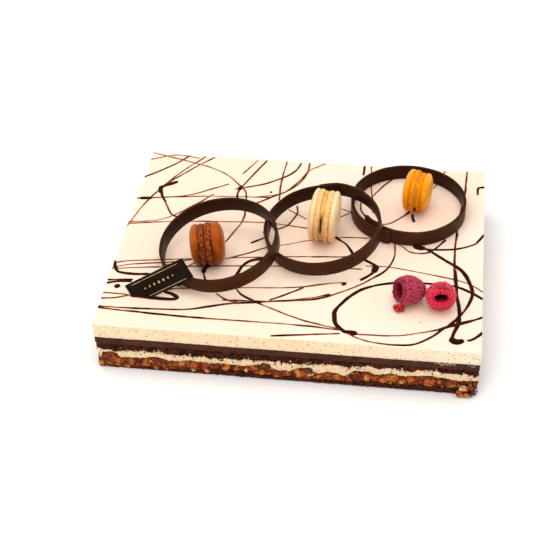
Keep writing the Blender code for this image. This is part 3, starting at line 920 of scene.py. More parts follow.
def nutShape(middle, half, outward, tone, seed, ball, limit):
    # a chopped nut, cut flat just inside the cake's side, with its darker skin round the cut; the
    # cut face fades from the skin's tone at its rim, partly skin and partly painted shade
    points, faces = ball
    rng = np.random.default_rng(seed)
    shape = points * (1 + nutLook["lump"] * softNoise(points * 0.01, 0.008, seed)[:, None])
    for _ in range(nutLook["facets"]):
        normal = unit(rng.normal(size=3))
        over = np.clip(shape @ normal - nutLook["facetAt"], 0, None)
        shape = shape - over[:, None] * normal * nutLook["facetDepth"]
    along = np.array([-outward[1], outward[0], 0.0])
    out = np.array([outward[0], outward[1], 0.0])
    lean = rng.uniform(-0.5, 0.5)
    wide = shape[:, 0] * half[0] * math.cos(lean) - shape[:, 2] * half[1] * math.sin(lean)
    high = shape[:, 0] * half[0] * math.sin(lean) + shape[:, 2] * half[1] * math.cos(lean)
    placed = (np.array(middle) + np.outer(wide, along) + np.outer(shape[:, 1] * half[2], out)
              + np.outer(high, (0, 0, 1)))
    dent = 0.18 * layeredNoise(placed * mm, 1.5 * mm, seed) - 0.1
    over = np.clip(placed @ out - limit, 0, None)
    flat = np.clip(over / 0.3, 0, 1)
    # the flesh's tone fades in from the cut face's rim, partly the skin and partly painted shade
    core = np.clip(over / (0.3 * half[2]), 0, 1)
    core = np.maximum(core, np.clip(2.4 * softNoise(placed * mm, 2.4 * mm, seed + 4), 0, 0.8))
    placed = placed - np.outer(over - flat * np.minimum(dent, 0), out)
    placed[:, 2] = np.maximum(placed[:, 2], 0.15)
    flesh = np.array(nutTones[tone][:3]) * rng.uniform(0.85, 1.15)
    skin = flesh * nutLook["skin"]
    streak = 1 + 0.25 * softNoise(placed * mm, 1.4 * mm, seed + 1)
    shade = (np.outer(core, flesh) + np.outer(1 - core, skin)) * streak[:, None]
    return placed, faces, {"tone": shade}


def buildNuts(finish):
    look = nutLook
    ball = ballShape(look["subdivisions"])
    rng = random.Random(21)
    parts = []
    halfDepth, halfLength = cake["depth"] / 2, cake["length"] / 2
    deep, swell, inset = look["depth"], look["swell"], look["sideInset"]
    back = look["frontInset"] + look["buried"] * deep      # from the side to the middle of a nut
    for i, (x, z, wide, tall, tone) in enumerate(frontNuts):
        parts.append(nutShape((x, -halfDepth + back, z), (wide * swell, tall * swell, deep), (0, -1),
                              tone, i, ball, halfDepth - look["frontInset"]))
    sides = [((1, 0), halfLength, halfDepth), ((0, 1), halfDepth, halfLength),
             ((-1, 0), halfLength, halfDepth)]
    for number, (outward, reach, half) in enumerate(sides):
        at = -half + look["ends"]
        while at < half - look["ends"]:
            along = np.array([-outward[1], outward[0]])
            wide, tall = rng.uniform(1.8, 4.2), rng.uniform(1.5, 3.6)
            spot = along * at + np.array(outward) * (reach - inset - back)
            lean = look["slope"] * spot[0]
            z = rng.uniform(4.2, 9.2) + lean
            tone = rng.choice(look["tones"])
            parts.append(nutShape((*spot, z), (wide, tall, deep), outward, tone,
                                  100 * (number + 1) + len(parts), ball, reach - inset))
            if rng.random() < look["smallShare"]:
                low = rng.uniform(2.4, 4.4) + lean
                shift = along * rng.uniform(-2, 2)
                tone = rng.choice(look["smallTones"])
                parts.append(nutShape((*(spot + shift), low), look["small"], outward, tone,
                                      900 + len(parts), ball, reach - look["smallInset"]))
            at += rng.uniform(0.55, 1.3) * look["spacing"]
    makeJoined("praline_nuts", parts, finish)


def nutFinish():
    finish = Finish("nuts", specular=0.2, soft=0.08, softRadius=(1, 0.5, 0.2), coat=0.08,
                    tint=(1, 0.8, 0.6))
    patches = finish.patches((1.1, 1.08, 1.05), (0.50, 0.36, 0.26), 560, 5, 0.36, 0.56)
    veins = finish.patches((1.25, 1.2, 1.05), (0.62, 0.54, 0.46), 1200, 4, 0.36, 0.64)
    finish.color(finish.shaded(finish.shaded(finish.tone("tone"), patches), veins))
    finish.grain(620, 0.5, 0.35, 0.0007, 0.9)
    finish.rough(patches.outputs["Mask"], 0.6, 0.4)
    return finish.material


nutMaterial = nutFinish()
buildNuts(nutMaterial)

# the clump that stands out at the foot of the front right corner: place from the middle of
# its box, half sizes, tone
clumpNuts = [
    ((-1.4, -0.2, 2.6), (3.5, 2.2, 1.9), "cream"), ((2.9, 0.4, 2.6), (2.6, 2.3, 1.3), "rust"),
    ((-3.4, 0.1, -1.6), (2.4, 2.9, 1.5), "orange"), ((-3.0, -0.3, -3.4), (2.5, 1.7, 1.5), "gold"),
    ((1.0, -0.3, -2.8), (2.1, 2.3, 1.7), "gold"), ((3.6, 0.1, -2.2), (2.2, 2.8, 1.4), "brown"),
    ((0.1, 0.3, 0.3), (2.4, 1.6, 1.2), "rust"), ((4.2, 0.2, 0.6), (1.2, 2.2, 1.1), "dark"),
]


def buildClump(finish):
    ball = ballShape(4)
    low, high = (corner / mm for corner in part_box("nut_clump"))
    middle = (low + high) / 2
    parts = []
    for i, (offset, half, tone) in enumerate(clumpNuts):
        spot = [middle[k] + offset[k] for k in range(3)]
        parts.append(nutShape(spot, half, (0, -1), tone, 300 + i, ball, -low.y - 0.02))
    for points, _, _ in parts:
        points[:, 0] = np.clip(points[:, 0], low.x, high.x)
    makeJoined("nut_clump_piece", parts, finish, ["nut_clump"])


buildClump(nutMaterial)
print("nuts done")


# drizzled chocolate on the top: width, then places in millimetres from the middle

drizzle = [
    (0.8, [(-125, 97), (-94, 88), (-69, 78), (-51, 61)]),
    (0.7, [(-125, 88), (-106, 96), (-88, 93)]),
    (0.8, [(-125, 65), (-107, 82), (-96, 96)]),
    (0.9, [(-109, 55), (-98, 76), (-84, 96)]),
    (0.8, [(-109, 55), (-94, 76), (-77, 96)]),
    (0.8, [(-109, 55), (-118, 33), (-125, 6)]),
    (1.4, [(-110, 55), (-107, 44), (-103, 36)]),
    (0.95, [(-104, 38), (-102, 34), (-96, 23), (-91, 20)]),
    (0.8, [(-125, 39), (-101, 43), (-85, 48), (-61, 63)]),
    (0.7, [(-125, 39), (-87, 45), (-58, 48), (-27, 50)]),
    (0.7, [(-125, 11), (-101, 17), (-81, 36), (-70, 50)]),
    (0.7, [(-125, 9), (-92, 15), (-59, 18), (-30, 20), (2, 17)]),
    (3.4, [(-111.4, 53), (-108.4, 55)]),
    (2.3, [(-109, 55), (-104, 58.6), (-99, 62)]),
    (2.3, [(-110.6, 53), (-108.6, 47)]),
    (3.0, [(-51, 61), (-53, 56.5)]),
    (2.0, [(-123, 39.2), (-114, 40.2)]),
    (0.6, [(-44, 95), (-49, 85), (-53, 77)]),
    (1.0, [(-37, 96), (-44, 79), (-51, 61)]),
    (1.5, [(-51, 61), (-53, 53), (-52, 43)]),
    (0.9, [(-51, 61), (-47, 54), (-45, 43)]),
    (0.9, [(-22, 96), (-23, 72), (-22, 47)]),
    (0.9, [(-11, 95), (-14, 85), (-21, 76), (-35, 66), (-56, 57)]),
    (1.0, [(-5, 96), (-5, 84), (-9, 71), (-17, 59), (-27, 51), (-39, 41)]),
    (0.7, [(7, 96), (-4, 86), (-9, 74), (-17, 60), (-24, 54), (-40, 49)]),
    (2.0, [(-29.5, 56.3), (-28, 56)]),
    (0.8, [(-46, 39), (-44, 29), (-45, 18), (-48, 9), (-53, -5)]),
    (1.2, [(-35, -4), (-30, 0), (-26, 4), (-28, 10)]),
    (0.7, [(-50, -23), (-35, -15), (-24, -8), (-8, -2), (7, 4), (29, 9), (47, 10)]),
    (1.6, [(-125, -33), (-123, -39), (-119, -44), (-109, -45), (-98, -44)]),
    (0.7, [(-125, -35), (-116, -32), (-93, -28), (-72, -25)]),
    (0.7, [(-125, -40), (-112, -35), (-90, -31), (-72, -26)]),
    (0.7, [(-125, -41), (-93, -36), (-45, -30), (7, -25), (44, -24)]),
    (1.5, [(-125, -53), (-118, -52), (-108, -51)]),
    (1.4, [(-125, -56), (-118, -54), (-108, -53)]),
    (3.5, [(-118.6, -59.6), (-115.6, -57.8)]),
    (0.9, [(-125, -66), (-115, -66), (-106, -67)]),
    (0.9, [(-125, -72), (-115, -70), (-107, -67)]),
    (2.4, [(-106, -67), (-100, -67), (-90, -68), (-78, -68), (-75, -66), (-79, -63), (-85, -61)]),
    (0.7, [(-85, -60), (-72, -56), (-30, -51), (-2, -48), (24, -41), (33, -39)]),
    (0.8, [(-74, -34), (-69, -29), (-52, -22)]),
    (3.4, [(-58.6, -30), (-61.2, -31.8)]),
    (2.2, [(-60.6, -31.4), (-62.3, -35.8), (-61.8, -39)]),
    (1.3, [(-62, -37), (-61.4, -41), (-59, -48)]),
    (2.1, [(-24, -20), (-32, -23), (-37, -29), (-40, -40), (-46, -44)]),
    (0.7, [(-47.5, -21.4), (-40, -20.4), (-23, -18), (8, -14.3), (21, -13), (37, -11.3)]),
    (0.85, [(8, -14.3), (14.5, -13.6), (21, -13)]),
    (0.7, [(-89, -59), (-71, -56), (-52, -53)]),
    (1.2, [(-38, -51), (-36, -55), (-31, -60), (-20, -66), (-5, -73)]),
    (0.85, [(-6, -72.6), (13, -80), (31, -84), (42, -87)]),
    (0.7, [(-50, -59), (-41, -65), (-33, -67)]),
    (0.8, [(-14, -62), (-1, -53), (7, -47)]),
    (1.1, [(-125, -80), (-97, -79), (-68, -77), (-54, -73), (-39, -68), (-17, -64), (6, -59), (25, -52)]),
    (0.9, [(-125, -81), (-93, -83), (-60, -84), (-24, -84), (9, -84), (38, -86)]),
    (1.0, [(-9, -96), (10, -93), (35, -89)]),
    (0.8, [(-8, 42), (-7, 37), (-7, 32), (-12, 19), (-19, 13)]),
    (0.7, [(-14, 37), (1, 27)]),
    (0.7, [(21, 42.8), (31.2, 38.5)]),
    (0.7, [(21, 29.5), (31.2, 38.5)]),
    (1.0, [(36, 96), (36, 84)]),
    (0.8, [(41, 96), (43, 72), (47, 39)]),
    (0.8, [(58, 82), (50, 69), (45, 59)]),
    (1.0, [(37, 51), (38, 41), (44, 32), (50, 29), (55, 27), (61, 30), (70, 40), (75, 48)]),
    (1.5, [(74.6, 40.6), (75.1, 35.4), (76.3, 31.4)]),
    (1.5, [(20.3, 11.6), (24.9, 7.2), (30.7, 1.8), (34.4, -4), (37, -9), (43, -13)]),
    (1.6, [(43, -12.6), (51, -17.7), (53, -19)]),
    (3.2, [(53, -19), (52.8, -22.5), (52, -26.4)]),
    (1.6, [(52, -26.4), (47.9, -31.2), (43.5, -35.5)]),
    (1.5, [(31.8, -41.8), (34.6, -39.4)]),
    (0.7, [(46, -20), (63, -20), (97, -26), (116, -32), (125, -39)]),
    (0.9, [(64, 6), (65, -3), (64, -12), (61, -21), (56, -28), (44, -40), (30, -50), (15, -58),
           (-13, -63), (-45, -65)]),
    (3.6, [(77, 6), (80, 3.5), (85, 2.5)]),
    (1.2, [(77, 5), (89, 2), (105, 4), (118, 10), (122, 16), (125, 22)]),
    (1.0, [(64, 6), (69, 4), (75, -2), (82, -3), (88, -1), (94, 6), (99, 14)]),
    (1.7, [(84, 3), (89, 0), (101, -10), (111, -19), (116, -31), (118, -40), (116, -51), (111, -63),
           (103, -75)]),
    (1.1, [(104, -73.5), (93, -86), (82, -94), (70, -96), (57, -95), (46, -92), (39, -88)]),
    (1.9, [(39, -88), (32, -81), (30, -74), (30, -67), (36, -56), (44, -46), (54, -40), (66, -36),
           (77, -34)]),
    (1.4, [(77, -34), (88, -34), (106, -35), (115, -39), (125, -46)]),
    (1.4, [(106.6, 22), (105.4, 2), (105.8, -20)]),
    (1.7, [(106, -18), (107, -33), (108, -45), (110, -61), (109.4, -72)]),
    (2.2, [(110, -63), (109.5, -71), (107.4, -80), (105.8, -86)]),
    (0.9, [(112, 97), (111, 72), (108, 43), (106, 19)]),
    (0.7, [(96, 96), (92, 84), (88, 73)]),
    (1.3, [(120, 68), (120, 75), (121, 77), (125, 78)]),
    (3.4, [(105.8, -85.6), (106.6, -88), (109.4, -89), (113.2, -87.4)]),
    (1.4, [(115.4, -87.2), (118.6, -85.8), (122.3, -82.2), (125, -78.4)]),
    (3.2, [(38.5, -87), (46, -88)]),
    (0.85, [(39, -88.6), (55, -88.4), (73, -87), (86, -83), (99, -78)]),
    (1.5, [(96.3, -79.6), (104.4, -74.6), (117, -68.5), (125, -63.8)]),
]
drizzleLook = {"spacing": 0.9, "sides": 8, "height": 0.36, "sink": 0.05, "gain": 1.36, "thinGain": 1.52,
               "edge": 0.2, "wobble": 0.25, "swell": (0.30, 0.16)}


def strand(width, points, seed):
    # a low rounded bead that swells and thins along a smooth line
    line = curveThrough(points, drizzleLook["spacing"])
    place = np.c_[line, np.zeros(len(line))] * mm
    edge = (cake["length"] / 2 - drizzleLook["edge"], cake["depth"] / 2 - drizzleLook["edge"])
    wobble = np.stack([softNoise(place, 9 * mm, seed), softNoise(place, 9 * mm, seed + 50)], axis=1)
    line = line + drizzleLook["wobble"] * wobble
    slow, quick = drizzleLook["swell"]
    swell = 1 + slow * softNoise(place, 14 * mm, seed + 9) + quick * softNoise(place, 4 * mm, seed + 3)
    run = np.arange(len(line)) * drizzleLook["spacing"]
    taper = np.clip(np.minimum(run, run[-1] - run) / (0.9 * width) + 0.35, 0, 1) ** 0.5
    taper = np.where(np.abs(line[:, 0]) > edge[0] - 1.5, 1.0, taper)
    gain = drizzleLook["thinGain"] if width < 1 else drizzleLook["gain"]
    half = np.clip(0.5 * width * gain * swell * taper, 0.18, None)
    ahead = np.gradient(line, axis=0)
    ahead /= np.linalg.norm(ahead, axis=1)[:, None] + 1e-9
    across = np.c_[-ahead[:, 1], ahead[:, 0]]
    rise = np.minimum(drizzleLook["height"] * (half * 2) ** 0.8, 1.0)
    sides = drizzleLook["sides"]
    rings = []
    for k in range(sides):
        turn = 2 * math.pi * k / sides
        up = math.sin(turn)
        spot = line + across * (half * math.cos(turn))[:, None]
        spot[:, 0] = np.clip(spot[:, 0], -edge[0], edge[0])
        spot[:, 1] = np.clip(spot[:, 1], -edge[1], edge[1])
        z = cakeTop + (rise * up if up > 0 else drizzleLook["sink"] * up)
        rings.append(np.c_[spot, z * np.ones(len(spot))])
    grid = np.stack(rings, axis=1).reshape(-1, 3)
    thick = np.clip((half * 2 - 0.95) / 0.8, 0, 1)
    return grid, tubeFaces(len(line), sides), {"thick": np.repeat(thick, sides)}


def drizzleFinish():
    # thin strands let the glaze shine through and look brown, thick ones are nearly black
    finish = Finish("drizzle", specular=0.04, tint=(1, 0.7, 0.5))
    thin = finish.tones((176, 88, 14), (108, 42, 4), 150, 3, 0.38, 0.62)
    thick = finish.tones((58, 20, 3), (38, 11, 2), 120)
    finish.color(finish.mix(finish.value("thick"), thin.outputs["Color"], thick.outputs["Color"]))
    finish.rough(thick.outputs["Mask"], 0.30, 0.42)
    finish.grain(300, 0.1, 0.1, 0.0001, 0.4)
    return finish.material


strands = [strand(width, points, 7 * i) for i, (width, points) in enumerate(drizzle)]
makeJoined("drizzle", strands, drizzleFinish())
print("drizzle done")


# the three chocolate rings

ringLook = {"radius": 39.5, "wall": 2.0, "height": 10.8, "ease": 40.0, "clearance": 0.3,
            "round": 0.35, "stepDegrees": 1.2, "wave": 0.10, "sunk": 0.12, "insideShade": 0.75}
rings = {
    "ring_left": {"lean": 9.7, "lifted": 42, "ends": (216, 236), "taper": 2, "apart": 0.0},
    "ring_middle": {"lean": 8.9, "lifted": 40, "ends": (78, 98), "taper": 17, "apart": 0.0},
    "ring_right": {"lean": 0.0, "lifted": 40, "ends": (217, 255), "taper": 2, "apart": 2.7},
}


def stripOffset(angle, start, end):
    # the strip steps in at its first end and out at its last, where the two lie over each other
    step = (ringLook["wall"] + ringLook["clearance"]) / 2
    overlap = end - start - 360
    inward = np.clip(1 - np.clip(angle - start - overlap, 0, None) / ringLook["ease"], 0, 1)
    outward = np.clip(1 - np.clip(end - overlap - angle, 0, None) / ringLook["ease"], 0, 1)
    return step * (smoothStep(outward) - smoothStep(inward))


def buildRing(name, finish):
    look = rings[name]
    start, end = look["ends"][0], look["ends"][1] + 360
    count = int((end - start) / ringLook["stepDegrees"])
    angle = np.linspace(start, end, count)
    turn = np.radians(angle)
    radius = ringLook["radius"] + stripOffset(angle, start, end)
    half, tall, r = ringLook["wall"] / 2, ringLook["height"], ringLook["round"]
    section = []
    for cx, cz, first in ((half - r, r, -90), (half - r, tall - r, 0), (-half + r, tall - r, 90),
                          (-half + r, r, 180)):
        for k in range(3):
            bend = aimed(first + 45 * k)
            section.append((cx + r * bend[0], cz + r * bend[1]))
    around = np.c_[np.cos(turn), np.sin(turn), np.zeros(count)]
    seed = 60 + len(name)
    slow = softNoise(around * 0.04, 16 * mm, seed)
    edge = softNoise(around * 0.04, 5 * mm, seed + 5)
    loops = []
    # towards its ends the strip thins out to an edge: the inner end from inside, the outer
    # one from outside
    first = np.clip((angle - start) / look["taper"], 0.12, 1)
    last = np.clip((end - angle) / look["taper"], 0.12, 1)
    # the inner end may stand a little apart from the strip round it
    radius = radius - look["apart"] * np.clip(1 - (angle - start) / ringLook["ease"], 0, 1) ** 0.8
    for out, z in section:
        lift = edge * (ringLook["wave"] if z > tall / 2 else 0.0)
        thinned = half - (half - out) * first
        thinned = (thinned + half) * last - half
        reach = radius + thinned + ringLook["wave"] * slow
        loops.append(np.c_[around[:, :2] * reach[:, None], z - ringLook["sunk"] + lift])
    grid = np.stack(loops, axis=1).reshape(-1, 3)
    faces = tubeFaces(count, len(section))
    lean, lifted = math.radians(look["lean"]), math.radians(look["lifted"])
    low, high = boxOf(name)
    tip = Matrix.Rotation(lean, 3, Vector((math.sin(lifted), -math.cos(lifted), 0)))
    grid = grid @ np.array(tip).T
    middle = (low + high) / 2 - (grid.min(0) + grid.max(0)) / 2
    # the faces of the inner wall, which are painted darker as shade
    inside = np.array([1.0 if out < 0 else 0.0 for out, z in section] * count)
    makePiece(name + "_piece", (grid + middle) * mm, faces, finish, [name],
              {"inside": inside})


def ringFinish():
    finish = Finish("ring_chocolate", specular=0.08, coat=0.03, tint=(1, 0.75, 0.55))
    tones = finish.tones((70, 38, 18), (55, 27, 11), 60, 3, 0.3, 0.7)
    # painted shade: the inner wall is darker than the outer
    inside = finish.math("MULTIPLY", finish.value("inside"), ringLook["insideShade"])
    finish.color(finish.mix(inside, tones.outputs["Color"], srgb(38, 12, 4)))
    finish.rough(tones.outputs["Mask"], 0.38, 0.55)
    finish.grain(240, 0.15, 0.2, 0.00015, 0.5)
    return finish.material


ringMaterial = ringFinish()
for ringName in rings:
    buildRing(ringName, ringMaterial)
print("rings done")


# the three macarons

macaronLook = {"sides": 300, "footRows": 20, "domeRows": 26, "ruffle": 0.42, "clearance": 0.15,
               "groove": 0.925, "domeUnder": 22, "domeSpan": 110}
# Turn and tilt of the axis; left and right half: radius, end of the foot, crown. The filling
# reaches from the middle to the left and right, the slot is half the width of its dark middle,
# and the lips are where the halves begin. The gap, where the filling falls short, is a
# direction and half width in degrees round the axis, from +Y over the top to -Y, a depth and
# how far the lips draw back. Pores have a size, the share of places that hold one and a depth;
# torn is how torn the feet are at the top and at the bottom.
# The colour edge is painted shade on the domes' rims and undersides, pore is painted shade in the feet's
# pores and cracks, and the filling's lower colour is painted shade in the slot at the gap.
macarons = {
    "brown": {"turn": 10.6, "tilt": 4.0, "left": (14.3, 4.1, 10.6), "right": (14.8, 4.7, 13.0),
              "filling": (0.95, 0.95), "slot": 9.0, "lips": (0.28, 0.28), "reach": 0.93,
              "gap": (226, 24, 2.2, 0.5),
              "pores": (1.65, 0.92, 1.2), "torn": (0.7, 1.0), "crack": 1.2,
              "shell": (188, 88, 6), "shade": (154, 62, 3), "edge": (84, 30, 3),
              "foot": (184, 88, 42), "footShade": (122, 42, 14), "pore": (40, 8, 3),
              "creamTop": (96, 34, 12), "slotShade": (40, 12, 5)},
    "cream": {"turn": -3.9, "tilt": -3.0, "left": (18.2, 4.2, 9.4), "right": (17.9, 6.0, 11.2),
              "filling": (1.1, 2.2), "slot": 0.7, "lips": (0.80, 1.90), "reach": 0.955,
              "gap": (170, 30, 1.8, 0.0),
              "pores": (1.25, 0.65, 0.7), "torn": (0.3, 1.0), "crack": 0.6,
              "shell": (255, 226, 180), "shade": (254, 212, 158), "edge": (248, 182, 112),
              "foot": (255, 218, 158), "footShade": (250, 186, 106), "pore": (206, 104, 34),
              "creamTop": (252, 190, 90), "slotShade": (126, 24, 4)},
    "orange": {"turn": -11.4, "tilt": 0.8, "left": (15.2, 4.2, 10.3), "right": (13.9, 3.8, 8.6),
               "filling": (0.9, 0.9), "slot": 9.0, "lips": (0.60, 0.60), "reach": 0.99,
               "gap": (222, 24, 2.4, 0.5),
               "pores": (1.25, 0.62, 0.75), "torn": (0.1, 1.0), "crack": 0.6,
               "shell": (255, 176, 12), "shade": (254, 148, 4), "edge": (226, 106, 2),
               "foot": (255, 160, 18), "footShade": (238, 122, 4), "pore": (150, 48, 2),
               "creamTop": (255, 166, 30), "slotShade": (170, 66, 6)},
}


def openAt(turn, gap):
    # 1 in the middle of a gap between the halves and 0 outside it
    middle, reach = gap[:2]
    away = np.abs((np.degrees(turn) - middle + 180) % 360 - 180)
    return np.clip(1.6 * (1 - away / reach), 0, 1)


def shellShape(kind, side, sign, seed):
    # one half built along its axis: flat inside, a lip that nearly meets the other half, a
    # bulging porous foot, a broken groove and the smooth dome
    look = macaronLook
    radius, footEnd, crown = kind[side]
    number = 0 if side == "left" else 1
    inner = kind["filling"][number] + look["clearance"]
    lip = kind["lips"][number]
    poreSize, poreShare, poreDepth = kind["pores"]
    sides = look["sides"]
    turn, around = circle(sides)
    least, most = kind["torn"]                       # the feet are rougher lower down
    torn = least + (most - least) * np.clip(0.65 - 0.7 * np.sin(turn), 0, 1)
    void = openAt(turn, kind["gap"])
    loops = [np.c_[np.full(sides, inner), around * radius * 0.60],
             np.c_[np.full(sides, inner), around * radius * 0.86]]
    foots = [1.0, 1.0]
    domeShades = [np.zeros(sides), np.zeros(sides)]
    poreShades = [np.zeros(sides), np.full(sides, 0.7)]
    for i in range(look["footRows"]):
        t = i / (look["footRows"] - 1)
        along = lip + t * (footEnd - lip)
        reach = radius * (look["groove"] + (0.995 - look["groove"]) * math.sin(math.pi * t) ** 0.45)
        place = np.c_[np.full(sides, along * 1.15), around * radius] * mm
        ruffle = layeredNoise(place, 2.0 * mm, seed, 0.7)
        near, _, own = chunks(place, poreSize * mm, seed)
        pore = np.clip(1 - near / 0.42, 0, 1) * (own < poreShare) * torn
        crack = kind["crack"] * math.exp(-((t - 0.95) / 0.09) ** 2) * torn
        crack = crack * np.clip(0.35 + 1.3 * softNoise(place * (0.2, 1, 1), 4 * mm, seed + 3), 0, 1)
        edge = max(0.0, 1 - t / 0.22) * void * kind["gap"][3]
        cut = poreDepth * pore + look["ruffle"] * np.clip(0.4 - ruffle, 0, 1.2) + 0.7 * crack + edge
        loops.append(np.c_[np.full(sides, along), around * (reach - cut)[:, None]])
        # painted shade: darker in the pores, the ruffles' dips, the cracks and where the lips draw back
        poreShades.append(np.clip(1.5 * pore + 0.7 * torn * np.clip(-ruffle, 0, 1) + crack + edge, 0, 1))
        foots.append(1.0)
        domeShades.append(np.zeros(sides))
    under = math.sin(math.radians(look["domeUnder"]))
    for i in range(look["domeRows"]):
        bend = math.radians(-look["domeUnder"] + look["domeSpan"] * i / (look["domeRows"] - 1))
        lift = (math.sin(bend) + under) / (1 + under)
        along = footEnd + 0.05 + (crown - footEnd - 0.05) * lift
        reach = radius * max(0.0, math.cos(bend)) ** 0.66
        place = np.c_[np.full(sides, along), around * max(reach, 1.0)] * mm
        gentle = 0.16 * softNoise(place, 8 * mm, seed + 8) - 0.16
        loops.append(np.c_[along + 0.3 * gentle, around * (reach + gentle)[:, None]])
        poreShades.append(np.zeros(sides))
        foots.append(0.0)
        # painted shade: domes are darker at the rim and underneath
        domeShades.append(np.clip(1.15 - 1.5 * lift - 0.5 * np.sin(turn), 0, 1) ** 1.5)
    points = np.concatenate(loops)
    faces = fannedFaces(len(loops), sides)
    foot = np.r_[np.repeat(foots, sides), 1.0, 0.0]
    rim = np.r_[np.concatenate(domeShades), 0.0, 0.0]
    depth = np.r_[np.concatenate(poreShades), 0.0, 0.0]
    points = np.r_[points, [(inner, 0, 0), (crown - 0.12, 0, 0)]]
    points[:, 0] *= sign
    return points, orientOut(points, faces), {"foot": foot, "pore": depth, "rim": rim}


def fillingShape(kind, radius, seed):
    # a disc that squeezes out between the lips, except where the gap is
    sides = macaronLook["sides"]
    turn, around = circle(sides)
    short = kind["gap"][2] * openAt(turn, kind["gap"])
    loops, slotShades = [], []
    first, last = kind["filling"]
    low, high = (lip - 0.1 for lip in kind["lips"])
    middle, slot = (high - low) / 2, min(kind["slot"], 0.5 * (high + low) - 0.05)
    section = [(-first, 0.90), (-low, 0.97), (middle - slot - 0.04, 1.0), (middle - slot, 1.0),
               (middle, 1.01), (middle + slot, 1.0), (middle + slot + 0.04, 1.0), (high, 0.97),
               (last, 0.90)]
    for x, share in section:
        place = np.c_[np.full(sides, x), around * radius] * mm
        reach = radius * share + (0.3 * softNoise(place, 3 * mm, seed) - 0.1 if share > 0.9 else 0.0)
        inSlot = 1.0 if abs(x - middle) < kind["slot"] + 0.02 else 0.0
        loops.append(np.c_[np.full(sides, x), around * (reach - short * inSlot)[:, None]])
        # painted shade: the slot goes dark where the filling falls short at the gap
        slotShades.append(inSlot * np.clip(1.5 * openAt(turn, kind["gap"]), 0, 1))
    points = np.r_[np.concatenate(loops), [(-first, 0, 0), (last, 0, 0)]]
    faces = fannedFaces(len(loops), sides)
    return points, orientOut(points, faces), {"low": np.r_[np.concatenate(slotShades), 0, 0]}


def shellFinish(kind, look):
    finish = Finish("macaron_" + kind, specular=0.24, soft=0.15, softRadius=(1, 0.5, 0.2),
                    tint=(1, 0.75, 0.4))
    skin = finish.tones(look["shell"], look["shade"], 130, 4, 0.32, 0.68)
    crumbs = finish.grain(1100, 0.7, 0.4)
    ruffle = finish.tones(look["foot"], look["footShade"], 620, 4, 0.36, 0.6)
    foot = finish.value("foot")
    # painted shade: the domes darker towards the rim and underneath
    domeShaded = finish.mix(finish.math("MULTIPLY", finish.value("rim"), 0.8), skin.outputs["Color"],
                       srgb(*look["edge"]))
    # painted shade in the feet's pores, dips and cracks
    porous = finish.mix(finish.remap(finish.value("pore"), 0.06, 0.5), ruffle.outputs["Color"],
                        srgb(*look["pore"]))
    finish.color(finish.mix(foot, domeShaded, porous))
    finish.rough(foot, 0.34, 0.8)
    relief = finish.math("MULTIPLY", crumbs.outputs["Height"], finish.remap(foot, 0, 1, 0.12, 1.0))
    finish.bump(relief, 0.0005, 0.8)
    return finish.material


def fillingFinish(kind, look):
    finish = Finish("filling_" + kind, specular=0.3, soft=0.1)
    upper, lower = (finish.tones(look[key], [c * darker for c in look[key]], 260, 4)
                    for key, darker in (("creamTop", 0.8), ("slotShade", 0.6)))
    # painted shade in the slot at the gap
    finish.color(finish.mix(finish.value("low"), upper.outputs["Color"], lower.outputs["Color"]))
    finish.rough(upper.outputs["Mask"], 0.65, 0.45)
    finish.grain(500, 0.4, 0.2, 0.0004, 0.7)
    return finish.material


def buildMacaron(kind):
    look = macarons[kind]
    node = "macaron_" + kind
    low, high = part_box(node + "_filling")
    spin = spun(look["turn"], "Z")
    tilt = spun(-look["tilt"], "Y")
    middle = (look["filling"][1] - look["filling"][0]) / 2 * mm
    place = Matrix.Translation((low + high) / 2) @ spin @ tilt @ Matrix.Translation((-middle, 0, 0))
    shellMaterial = shellFinish(kind, look)
    for side, sign, seed in (("left", -1, 11), ("right", 1, 23)):
        points, faces, values = shellShape(look, side, sign, seed + len(kind))
        makePiece(f"{node}_{side}_shell_piece", moved(points, place), faces, shellMaterial,
                  [f"{node}_{side}_shell"], values)
    radius = look["reach"] * min(look["left"][0], look["right"][0])
    points, faces, values = fillingShape(look, radius, 5 + len(kind))
    makePiece(node + "_filling_piece", moved(points, place), faces, fillingFinish(kind, look),
              [node + "_filling"], values)


for macaronKind in macarons:
    buildMacaron(macaronKind)
print("macarons done")


# the raspberries

berryLook = {"drupelet": 1.42, "spacing": 2.15, "bump": 0.45, "widest": 0.62, "holeDepth": 0.62,
             "rim": 1.20, "jitter": 0.13, "lump": 0.10, "uneven": 0.12, "hairShare": 0.45,
             "shrink": 0.85, "sides": 60}
# The way the hollow faces and its rise; half length and radius; half the hollow's width and
# height, how wide its lip is and how far its floor climbs towards the closed end; tones: light
# on the drupelets' crests and deep between them, which is painted shade, a pale tone on the
# crests that is partly the berry's own whitish coat and partly painted highlight, inner for the
# hollow and dark, painted shade deep inside it.
berries = {
    "raspberry_left": {"faces": 206, "rise": 15, "half": 10.5, "radius": 9.7, "hole": (5.3, 5.0),
                       "mouth": 0.76, "floor": 0.8, "light": (186, 46, 78), "deep": (98, 8, 32),
                       "bloomAndHighlight": (208, 100, 128), "inner": (136, 12, 40), "dark": (34, 0, 8)},
    "raspberry_right": {"faces": 275, "rise": 28, "half": 9.6, "radius": 9.7, "hole": (4.3, 2.9),
                        "mouth": 0.67, "floor": 1.0, "light": (226, 48, 78), "deep": (160, 8, 34),
                        "bloomAndHighlight": (240, 120, 146), "inner": (214, 16, 56), "dark": (30, 0, 6)},
}


def berryRadius(t):
    if t < berryLook["widest"]:
        return math.sin(math.pi / 2 * max(t, 0.0) / berryLook["widest"]) ** 0.62
    past = (t - berryLook["widest"]) / (1 - berryLook["widest"])
    return 1 - 0.22 * past ** 2.2


